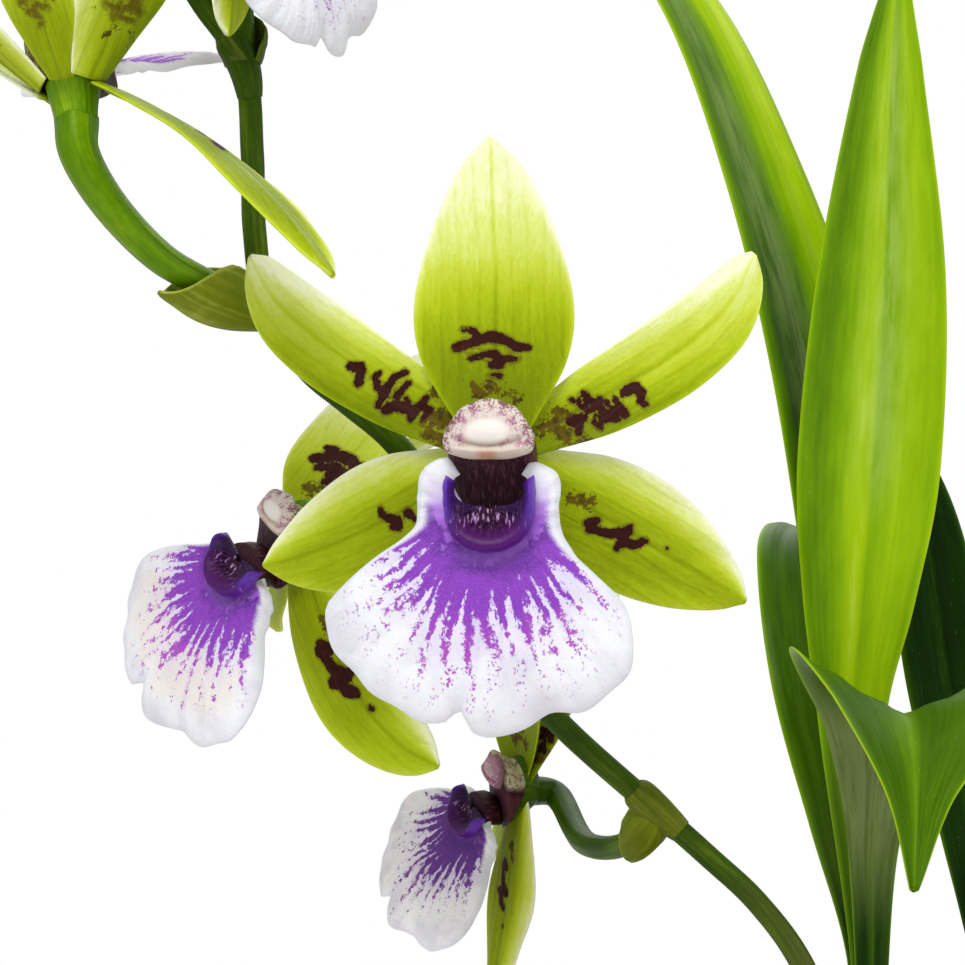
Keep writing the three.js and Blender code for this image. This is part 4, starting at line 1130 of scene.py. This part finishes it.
def tepal(bloom, key, seed, surface):
    """One tepal. Its marks are drawn on its plain form, so that they bend with it."""
    plain = TEPALS[key]
    form = {**plain, **BLOOMS[bloom].get(key, {})}
    t = np.linspace(0, 1, TEPAL_STEPS)
    phase = seed * 1.7 + len(key)

    def surface_of(shape, outset):
        spine, across, normal, reach = tepal_spine(shape, outset, t)
        if key.startswith("petal"):
            bend = shape["upper"] * PETAL_POINT * np.clip((t - 0.7) / 0.3, 0, 1) ** 2
            spine = spine + across * bend[:, None]
            reach = reach * (1 - 0.16 * smooth(t, 0.75, 0.97))
        reach = np.maximum(reach, 0.05)

        def offset(u, s):
            mm = s * reach[:, None]
            crease = -0.3 * np.exp(-((mm / 0.5) ** 2)) * np.sin(np.pi * np.clip(u * 1.1, 0, 1))
            veins = 0.07 * np.cos(mm * 2 * np.pi / 2.1 + np.sin(u * 7 + phase)) * (1 - np.abs(s) ** 4)
            folds = 0.16 * np.sin(mm * 1.3 + 5 * u + phase) * smooth(u, 0.35, 0.9)
            wave = 0.35 * np.abs(s) ** 3 * np.sin(u * 11 + phase + 1.5 * s) * np.sin(np.pi * u)
            return shape["cup"] * reach[:, None] * s**2 + crease + veins + folds + wave

        return blade(spine, across, normal, reach, TEPAL_RING, TEPAL_THICKNESS, offset)

    points, tt, ss, side = surface_of(form, BLOOMS[bloom].get("outset", 0))
    pattern = surface_of(plain, 0)[0]
    shift = 0.0 if bloom == "front" else MARK_SHIFT
    x = pattern[..., 0] + shift * math.sin(phase)
    y = pattern[..., 1] + shift * math.cos(phase)
    hidden = np.where(side < 0, MARK_HIDDEN, 0)
    marks = stroke_distance(MARKS[key], x, y)
    smudges = stroke_distance(SMUDGES[key], x, y)
    ghost = np.where(side < 0, marks, NO_STROKE)
    # The side of the tepal that takes the painted light from above
    pale_side = -1 if (bloom, key) == PALE_BELOW else 1
    tone = tepal_tone(key, tt, ss * (form["upper"] or 1) * pale_side)
    tone = tone + TEPAL_SHIFT.get((bloom, key), TONE_SHIFT.get(bloom, 0))
    places = {
        "place": fields(ss * sample(form["rows"], tt), tt * form["length"], seed * 11.0 + len(key)),
        "tone": fields(marks + hidden - MARK_BOLD.get(bloom, 0), smudges + hidden, tone),
        "back": fields(ghost, 0.0, 0.0),
    }
    bloom_piece(bloom, key, "tepals", points, surface, places)


def lip_height(x, y, slope):
    """Height of the lip's middle surface in front of its bloom's centre."""
    down = np.maximum(0, LIP_MIDDLE - y)
    below = np.maximum(0, LIP_SLOPE_BELOW - y)
    lean = LIP_LEAN * down - LIP_BEND * down**2 + below * math.tan(math.radians(slope))
    return LIP_FRONT + lean - LIP_ARCH * x**2


def lip(bloom, seed, surface, under):
    """A ruffled fan round the callus, and the claw that carries it."""
    form = BLOOMS[bloom]
    facing = bloom == "front"
    opening = LIP_OPENING if facing else LIP_OPENING_TURNED
    turn = np.linspace(-opening, opening, LIP_STEPS)[:, None]
    reach = LIP_UNIT * sample(LIP_REACH, turn)
    if not facing:
        reach = reach * (1 - 0.5 * smooth(np.abs(turn), opening - 30, opening))
    ring = ring_angles(LIP_RING)
    share = (1 - np.cos(ring)) / 2
    side = signed_power(np.sin(ring), 0.5)
    a = np.radians(turn)
    inner = LIP_THROAT + LIP_SHOULDER_GAP * smooth(np.abs(turn), 112, 142)
    r = inner + (reach - inner) * share
    r = r + 0.18 * np.sin(a * 23 + seed) * share**8 * smooth(-np.abs(turn), -90, -60)
    x = -r * form.get("lip_breadth", 1) * np.sin(a)
    y = LIP_MIDDLE - r * np.cos(a)
    ruffle = 0.5 * (np.sin(np.radians(turn * 6)) - 1) * share**4
    ripple = 0.12 * np.sin(a * 31 + 2 * np.sin(seed)) * share**2
    recurve = -0.9 * np.clip((share - 0.82) / 0.18, 0, 1) ** 2
    end = np.sqrt(np.clip(1 - (np.abs(turn) / opening) ** 24, 0.02, 1))
    wavy = lip_height(x, y, form.get("lip_slope", 0)) + ruffle + ripple + recurve
    z = wavy + side * LIP_HALF_THICKNESS * end
    places = {"place": fields(x, y, seed * 7.0), "form": fields(0.0, 0.0, reach * (1 - share))}
    bloom_piece(bloom, "lip", "lip", fields(x, y, z), surface, places)
    claw, _, _ = ellipse_rings(LIP_CLAW if facing else LIP_CLAW_BROAD, 12, 32)
    x, y, z = np.moveaxis(claw, -1, 0)
    places = {"place": fields(x, y + (CLAW_CLEAR_OF_FAN if facing else 0), z), "form": 0 * claw}
    bloom_piece(bloom, "claw", "lip", claw, under, places)


def callus(bloom, seed, surface):
    """A cushion whose two arms stand up beside the column as narrow ridges."""
    facing = bloom == "front"
    opening = CALLUS_OPENING if facing else CALLUS_OPENING_TURNED
    turn = np.linspace(-opening, opening, CALLUS_STEPS)[:, None]
    blend = smooth(np.abs(turn), 64, 106)
    inner = CALLUS_INNER + ((CALLUS_ARM_INNER if facing else CALLUS_INNER) - CALLUS_INNER) * blend
    steps = np.concatenate([np.linspace(0, 1, CALLUS_TOP), np.linspace(1, 0, CALLUS_UNDER)[1:-1]])
    share = inner + (1 - inner) * steps
    front = sample(CALLUS_FRONT, share)
    arms = sample(CALLUS_ARMS, share)
    height = np.where(np.arange(len(steps)) < CALLUS_TOP, front + (arms - front) * blend, 0)
    a = np.radians(turn)
    keels = 0.22 * np.cos(a * 26) * np.exp(-(((share - 0.5) / 0.13) ** 2)) * (1 - blend)
    notches = 0.04 * np.sin(a * 17 + seed) * smooth(share, 0.8, 1)
    r = (sample(CALLUS_REACH, turn) + notches) * share
    x = -r * np.sin(a)
    y = CALLUS_MIDDLE - r * np.cos(a)
    rounded = np.sqrt(np.clip(1 - (np.abs(turn) / opening) ** 16, 0.03, 1))
    foot = lip_height(x, y, BLOOMS[bloom].get("lip_slope", 0)) + CALLUS_LIFT
    z = foot + (height + np.where(height > 0, keels, 0)) * rounded
    places = {"place": fields(x, y, seed * 5.0), "form": fields(a, share, 0.0)}
    bloom_piece(bloom, "callus", "callus", fields(x, y, z), surface, places)


def column(bloom, seed, surface):
    """A squarish column, hollow in front."""
    t, turn = np.linspace(0, 1, 30), ring_angles(88)
    z, half_width, half_height, middle = columns_of(COLUMN, t)
    c, s = np.cos(turn), np.sin(turn)
    x = half_width * signed_power(c, np.where(s < 0, 0.42, 0.8))
    y = middle + half_height * signed_power(s, np.where(s < 0, 0.95, 0.8))
    y = y + 0.7 * np.exp(-((x / 3.2) ** 2)) * (s < 0) * np.sin(np.pi * t)[:, None]
    z = z * COLUMN_SHARE.get(bloom, 1)
    places = {"place": fields(x, y, z + seed * 5)}
    bloom_piece(bloom, "column", "column", fields(x, y, z), surface, places)


def anther_cap(bloom, seed, surface):
    """A hooded cap with a smooth dome in front and a lens-shaped lip under it."""
    share = np.concatenate([np.linspace(0.02, 1, CAP_TOP), np.linspace(1, 0.02, CAP_UNDER)[1:]])[:, None]
    front = np.arange(len(share))[:, None] < CAP_TOP
    turn = ring_angles(CAP_RING)
    c, s = np.cos(turn), np.sin(turn)
    bumps = 1 + 0.012 * np.sin(turn * 9 + seed)
    outline_x = CAP_HALF_WIDTH * signed_power(c, np.where(s > 0, 0.94, 0.8)) * bumps
    outline_x = outline_x * (1 - CAP_TAPER * np.clip(s, 0, 1))
    outline_y = np.where(s > 0, CAP_ABOVE * s, CAP_BELOW * signed_power(s, 0.8)) * bumps
    x, y = share * outline_x, CAP_MIDDLE + share * outline_y
    bulge = np.sqrt(np.clip(1 - share**2.4, 0, 1))
    dome = np.exp(-((x / 2.7) ** 2) - (((y - 0.9) / 1.55) ** 2))
    groove = np.exp(-(((y + 0.75 - 0.05 * x**2) / 0.34) ** 2)) * smooth(-np.abs(x), -5, -3.6)
    ledge = np.exp(-(((y + 1.6 - 0.03 * x**2) / 0.5) ** 2)) * smooth(-np.abs(x), -5.2, -3.8)
    hood = CAP_BACK + 0.4 + 2.1 * bulge + 0.75 * dome - 0.55 * groove + 0.45 * ledge
    z = np.where(front, hood, CAP_BACK) * COLUMN_SHARE.get(bloom, 1)
    size = CAP_SHARE.get(bloom, 1)
    places = {"place": fields(x, y, seed * 5.0), "form": fields(share, dome * front, groove * front)}
    bloom_piece(bloom, "cap", "anther_cap", fields(x * size, y * size, z), surface, places)


def receptacle(bloom, seed, surface):
    """The green swelling that joins the tepals to their stalk."""
    points, _, turn = ellipse_rings(RECEPTACLE_SLIM if bloom == "upper" else RECEPTACLE, 20, 56)
    points[..., :2] *= (1 + 0.02 * np.cos(turn * 6))[:, None]
    places = {"place": fields(turn * 4, points[..., 2], seed * 3.0)}
    bloom_piece(bloom, "receptacle", "tepals", points, surface, places)


# Stem, leaves, bulbs
def tube(name, path, radii, steps, columns, surface, replaces, seed=0, relief=0.04):
    """A round stem with shallow ridges along it."""
    t = np.linspace(0, 1, steps)
    centre, _, normal, other = path_frames(path, t)
    turn = ring_angles(columns)
    ridges = 1 + relief * np.cos(turn * 3 + seed) + relief * 0.5 * np.cos(turn * 7)
    radius = sample(spread(radii), t)[:, None] * ridges
    places = {"place": fields(turn * radii[0], run_along(centre)[:, None], seed * 6.0)}
    piece(name, rings_round(centre, normal, other, radius, turn), surface, replaces, places)


def stalk_path(name):
    """Points of a flower stalk, from its node to the back of the bloom."""
    ends = placed(np.array([STALK_APPROACH, STALK_END], float), BLOOMS[name])
    return [RACHIS[NODES[name]], *STALKS[name]["through"], *map(tuple, ends)]


def bract(name, surface):
    """A boat-shaped bract that clasps the foot of a flower stalk."""
    path = stalk_path(name)
    length = STALKS[name]["bract"] + BRACT_FREE_TIP
    share = np.linspace(0, 1, 400)
    run = run_along(smooth_path(path, share))
    t = np.linspace(0, 1, 36)
    centre, tangent, _, _ = path_frames(path, np.interp(t * length, run, share))
    sky = np.array([0.0, 0, 1])
    down = -unit(sky - tangent * (tangent @ sky)[:, None])
    foot = STALKS[name]["radii"][0]
    flare = [foot + more for more in BRACT_FLARES.get(name, BRACT_FLARE)]
    turn = ring_angles(48)
    bend = np.cos(turn) * sample(BRACT_WRAPS.get(name, BRACT_WRAP), t)[:, None]
    side = signed_power(np.sin(turn), 0.5)
    keel = 0.5 * np.exp(-((bend / 0.25) ** 2)) * np.sin(np.pi * t)[:, None]
    depth = sample(spread(flare), t)[:, None] + side * 0.28 + keel + 0.06 * np.cos(bend * 16)
    points = rings_round(centre, down, np.cross(tangent, down), depth, bend)
    places = {
        "place": fields(bend * 3, (t * length)[:, None], 4.0 + length),
        "tone": fields(np.abs(np.cos(turn)) ** 10, side <= 0, 0 * depth),
    }
    piece(f"{name}_bract", points, surface, "flower_stem", places)


def node_sheath(name, surface):
    """The swollen, sheathed node of the stem from which a flower stalk grows."""
    share = np.linspace(0, 1, 1200)
    fine = smooth_path(RACHIS, share)
    run = run_along(fine)
    middle = run[np.argmin(np.linalg.norm(fine - np.array(RACHIS[NODES[name]]), axis=1))]
    t = np.linspace(0, 1, 40)
    along = middle + np.linspace(-NODE_SHEATH_REACH, NODE_SHEATH_REACH, 40)
    at = np.interp(along, run, share)
    centre, _, normal, other = path_frames(RACHIS, at)
    turn = ring_angles(48)
    swollen = sample(spread(RACHIS_RADII), at) + sample(NODE_SWELL, t)
    points = rings_round(centre, normal, other, swollen[:, None] * (1 + 0.02 * np.cos(turn * 11)), turn)
    places = {"place": fields(turn * 2.5, along[:, None], 8.0)}
    piece(f"{name}_node", points, surface, "flower_stem", places)


def leaf(name, form, seed, surface):
    """A pleated, folded blade along its spine."""
    t = np.linspace(0, 1, 110)
    centre, tangent, _, _ = path_frames(form["spine"], t)
    first, last = (np.array(v, float) for v in form["across"])
    sideways = first + (last - first) * t[:, None]
    sideways = unit(sideways - tangent * np.sum(sideways * tangent, -1, keepdims=True))
    reach = np.maximum(sample(spread(form["widths"]), t), 0.08)
    fold = form["fold"]
    tip_fold = form.get("tip_fold", fold)

    def offset(u, s):
        ridge = np.sqrt(s**2 + 0.012) * (fold + (tip_fold - fold) * u) * reach[:, None]
        pleats = 0.22 * np.cos(s * 2 * np.pi * 2.5) * np.sin(np.pi * np.clip(u * 1.2 - 0.1, 0, 1))
        wave = 0.5 * np.abs(s) ** 3 * np.sin(u * 13 + seed + s) * np.sin(np.pi * u)
        return ridge + pleats + wave

    normal = np.cross(sideways, tangent)
    points, tt, ss, _ = blade(centre, sideways, normal, reach, 64, LEAF_THICKNESS, offset)
    look = LEAF_LOOKS[name]
    # Bands across the leaf, partly painted light and shade on its folded halves, with pale rims painted as
    # a highlight along its edges and a darker foot
    tone = sample(look["bands"], ss) + look.get("rise", 0) * (tt - 0.5)
    tone = tone + 0.3 * np.abs(ss) ** 26 - 0.16 * (1 - smooth(tt, 0.1, 0.32))
    wax = look.get("wax", 0) * (1 - smooth(tt, *look.get("wax_span", (0.3, 0.5)))) * smooth(tt, 0.17, 0.3)
    # A painted reflection along part of the blade
    painted_reflection = 0.0
    if "painted_reflection" in look:
        low, high, place, strength = look["painted_reflection"]
        shining = smooth(tt, low, low + 0.12) * (1 - smooth(tt, high - 0.12, high))
        painted_reflection = strength * shining * np.exp(-(((ss - place) / 0.3) ** 2))
    places = {
        "place": fields(ss, run_along(centre)[:, None], seed * 9.0),
        "tone": fields(tone, wax, painted_reflection),
    }
    piece(name + "_blade", points, surface, name, places)


def bulb(name, form, surface):
    """A ribbed pseudobulb, turned on its foot."""
    points, t, turn = ellipse_rings([(*ring, 0) for ring in form["rings"]], 60, 96)
    ribs = 1 + 0.025 * np.cos(turn * 11) * np.sin(np.pi * t)[:, None]
    x, y = points[..., 0] * ribs, points[..., 1] * ribs
    a = math.radians(form["turn"])
    points[..., 0] = x * math.cos(a) - y * math.sin(a) + form["foot"][0]
    points[..., 1] = x * math.sin(a) + y * math.cos(a) + form["foot"][1]
    places = {"place": fields(turn * 10, points[..., 2], a * 7 + 1)}
    piece(name + "_body", points, surface, name, places)


def sheath(surface):
    """A thin cuff round the feet of the young leaves."""
    shells = []
    for gap, rings in ((SHEATH_OUTER_GAP, SHEATH), (SHEATH_INNER_GAP, SHEATH[::-1])):
        points, _, turn = ellipse_rings([(z, x + gap, y + gap, 0) for z, x, y in rings], 40, 96)
        shells.append(points)
    closed = np.concatenate([*shells, shells[0][:1]])
    closed[..., :2] += SHEATH_FOOT
    places = {"place": fields(turn * 5, closed[..., 2], 2.0)}
    piece("sheath_wrap", closed, surface, "leaf_sheath", places)


# Pot
def lathe(name, profile, surface, replaces, columns=160):
    """A turned body whose profile of (radius, z) starts and ends on the axis."""
    turn = ring_angles(columns)
    radius, z = np.array(profile, float).T[..., None]
    piece(name, fields(radius * np.cos(turn), radius * np.sin(turn), z), surface, replaces)


def wall_radius(z):
    """Radius of the pot's outer wall at a height."""
    top = POT_RIM_RADIUS - POT_RIM_STEP
    return POT_FOOT_RADIUS + (top - POT_FOOT_RADIUS) * z / (POT_HEIGHT - POT_RIM_HEIGHT)


def pot(surface):
    """A tapered pot with a rim, its edges slightly worn round."""
    rim_foot = POT_HEIGHT - POT_RIM_HEIGHT
    inner = wall_radius(POT_HEIGHT) - POT_WALL
    foot, rim = POT_FOOT_RADIUS, POT_RIM_RADIUS
    profile = [
        (0, 0), (foot - 1.5, 0), (foot - 0.4, 0.4), (foot, 1.5),
        *((wall_radius(z), z) for z in np.linspace(4, rim_foot, 24)),
        (rim - 1.6, rim_foot + 0.3), (rim - 0.5, rim_foot + 1.2),
        (rim, POT_HEIGHT - 2.4), (rim - 0.7, POT_HEIGHT - 0.6), (rim - 2.2, POT_HEIGHT),
        (inner + 1.6, POT_HEIGHT), (inner + 0.4, POT_HEIGHT - 0.6), (inner, POT_HEIGHT - 2),
        (wall_radius(POT_FLOOR) - POT_WALL, POT_FLOOR), (0, POT_FLOOR),
    ]
    lathe("pot_clay", profile, surface, "pot")


def chip(work, layer, chance, turn, reach, limit):
    """One worn block of bark, kept inside the pot's wall. Its colour follows the first of its shades."""
    start = len(work.verts)
    bmesh.ops.create_cube(work, size=1)
    work.verts.ensure_lookup_table()
    edges = list({edge for v in work.verts[start:] for edge in v.link_edges})
    bmesh.ops.subdivide_edges(work, edges=edges, cuts=3, use_grid_fill=True)
    work.verts.ensure_lookup_table()
    size = Vector([chance.uniform(*span) for span in CHIP_SIZES])
    tilt = Euler([chance.uniform(*span) for span in CHIP_TILTS]).to_matrix()
    height = BARK_LEVEL + chance.uniform(*CHIP_RISE)
    place = Vector((reach * math.cos(turn), reach * math.sin(turn), height))
    shades = [chance.random() for _ in range(3)]
    for v in work.verts[start:]:
        rounding = 1 - CHIP_WEAR * sum(map(abs, v.co))
        v[layer] = shades
        p = Vector([a * b for a, b in zip(v.co, size)]) * rounding
        p += Vector([chance.uniform(-rough, rough) for rough in CHIP_ROUGH])
        p = tilt @ p + place
        flat = math.hypot(p.x, p.y)
        if flat > limit:
            p.x, p.y = p.x * limit / flat, p.y * limit / flat
        v.co = p * MM


def bark(surface):
    """A filled bed with loose chips of bark on its top."""
    radius = wall_radius(BARK_LEVEL) - POT_WALL - 0.4
    foot = wall_radius(8) - POT_WALL - 0.5
    bed = [(0, 7.5), (foot, 7.5), (radius, BARK_LEVEL - 4), (0, BARK_LEVEL - 3.5)]
    lathe("bark_fill", bed, surface, "bark_mix", 96)
    chance = random.Random(5)
    mesh = bpy.data.meshes.new("bark_chips")
    work = bmesh.new()
    layer = work.verts.layers.float_vector.new("chip")
    for k in range(CHIP_COUNT):
        reach = (radius - 8) * math.sqrt((k + 0.5) / CHIP_COUNT)
        chip(work, layer, chance, math.radians(CHIP_TURN * k), reach, radius)
    bmesh.ops.recalc_face_normals(work, faces=work.faces)
    work.to_mesh(mesh)
    work.free()
    dress("bark_chips", mesh, surface, "bark_mix")


# Scene
def studio():
    """Soft white light from all round, under a white backdrop, and three soft lamps."""
    world = bpy.data.worlds.new("studio")
    bpy.context.scene.world = world
    world.use_nodes = True
    tree = world.node_tree
    backdrop = tree.nodes["Background"]
    fill = tree.nodes.new("ShaderNodeBackground")
    for shade, strength in ((backdrop, BACKDROP_STRENGTH), (fill, FILL_STRENGTH)):
        shade.inputs[0].default_value = (1, 1, 1, 1)
        shade.inputs[1].default_value = strength
    path = tree.nodes.new("ShaderNodeLightPath")
    mix = tree.nodes.new("ShaderNodeMixShader")
    tree.links.new(path.outputs["Is Camera Ray"], mix.inputs[0])
    tree.links.new(fill.outputs[0], mix.inputs[1])
    tree.links.new(backdrop.outputs[0], mix.inputs[2])
    tree.links.new(mix.outputs[0], tree.nodes["World Output"].inputs[0])
    for name, (place, energy, size) in LIGHTS.items():
        data = bpy.data.lights.new(name, "AREA")
        data.energy = energy
        data.size = size
        light = bpy.data.objects.new(name, data)
        light.location = place
        light.rotation_euler = (Vector(LIGHT_TARGET) - light.location).to_track_quat("-Z", "Y").to_euler()
        bpy.context.scene.collection.objects.link(light)


def floor():
    mesh = bpy.data.meshes.new("floor")
    work = bmesh.new()
    bmesh.ops.create_circle(work, cap_ends=True, segments=96, radius=FLOOR_RADIUS)
    work.to_mesh(mesh)
    work.free()
    mesh.materials.append(Surface("floor", Roughness=0.9, Base_Color=FLOOR_WHITE).material)
    made = bpy.data.objects.new("floor", mesh)
    made.location.z = FLOOR_LEVEL
    bpy.context.scene.collection.objects.link(made)


def camera():
    data = bpy.data.cameras.new("camera")
    data.lens = CAMERA_LENS
    data.sensor_width = CAMERA_SENSOR
    made = bpy.data.objects.new("camera", data)
    made.location = Vector(CAMERA_PLACE) * MM
    made.rotation_euler = (math.pi / 2, 0, 0)
    bpy.context.scene.collection.objects.link(made)
    bpy.context.scene.camera = made


def build():
    """Makes the surfaces and every piece of the plant and its pot."""
    tepals, calluses, columns = tepal_surface(), callus_surface(), column_surface()
    plain_lip, caps = lip_surface("lip"), cap_surface("cap")
    lips = {"left": lip_surface("lip_creamy", cream=0.6), "lower": lip_surface("lip_deep", deep=0.6)}
    dark_caps = cap_surface("cap_dark", 0.8)
    green = plant_surface("stem_green", STEM_GREEN, foot=STEM_FOOT)
    bright = plant_surface("stalk_green", STALK_BRIGHT, 0.4)
    deep = plant_surface("stalk_dark", STALK_DEEP, 0.4)
    node_green = plant_surface("node_green", NODE_GREEN, 0.55)
    olive = plant_surface("bract_olive", BRACT_OLIVE, 0.55)
    for seed, bloom in enumerate(BLOOMS):
        for key in TEPALS:
            tepal(bloom, key, seed, tepals)
        own_lip = lips.get(bloom, plain_lip)
        lip(bloom, seed, own_lip, own_lip if bloom == "front" else columns)
        callus(bloom, seed, calluses)
        column(bloom, seed, columns)
        anther_cap(bloom, seed, dark_caps if bloom == "lower" else caps)
        stalk = bright if bloom in BRIGHT_STALKS else deep
        receptacle(bloom, seed, stalk)
        path, radii = stalk_path(bloom), STALKS[bloom]["radii"]
        tube(f"{bloom}_stalk", path, radii, 80, 36, stalk, "flower_stem", seed)
        bract(bloom, green if bloom == "top" else olive)
        node_sheath(bloom, green if bloom == "top" else node_green)
    tube("rachis", RACHIS, RACHIS_RADII, 260, 40, green, "flower_stem", 9)
    tube("bud", BUD_PATH, BUD_RADII, 44, 44, bright, "end_bud", 2, 0.03)
    leaves, flesh = leaf_surface(), bulb_surface()
    for seed, (name, form) in enumerate(LEAVES.items()):
        leaf(name, form, seed, leaves)
    for name, form in BULBS.items():
        bulb(name, form, flesh)
    sheath(sheath_surface())
    pot(clay_surface())
    bark(bark_surface())


bpy.context.scene.view_settings.view_transform = "Standard"
camera()
studio()
floor()
build()
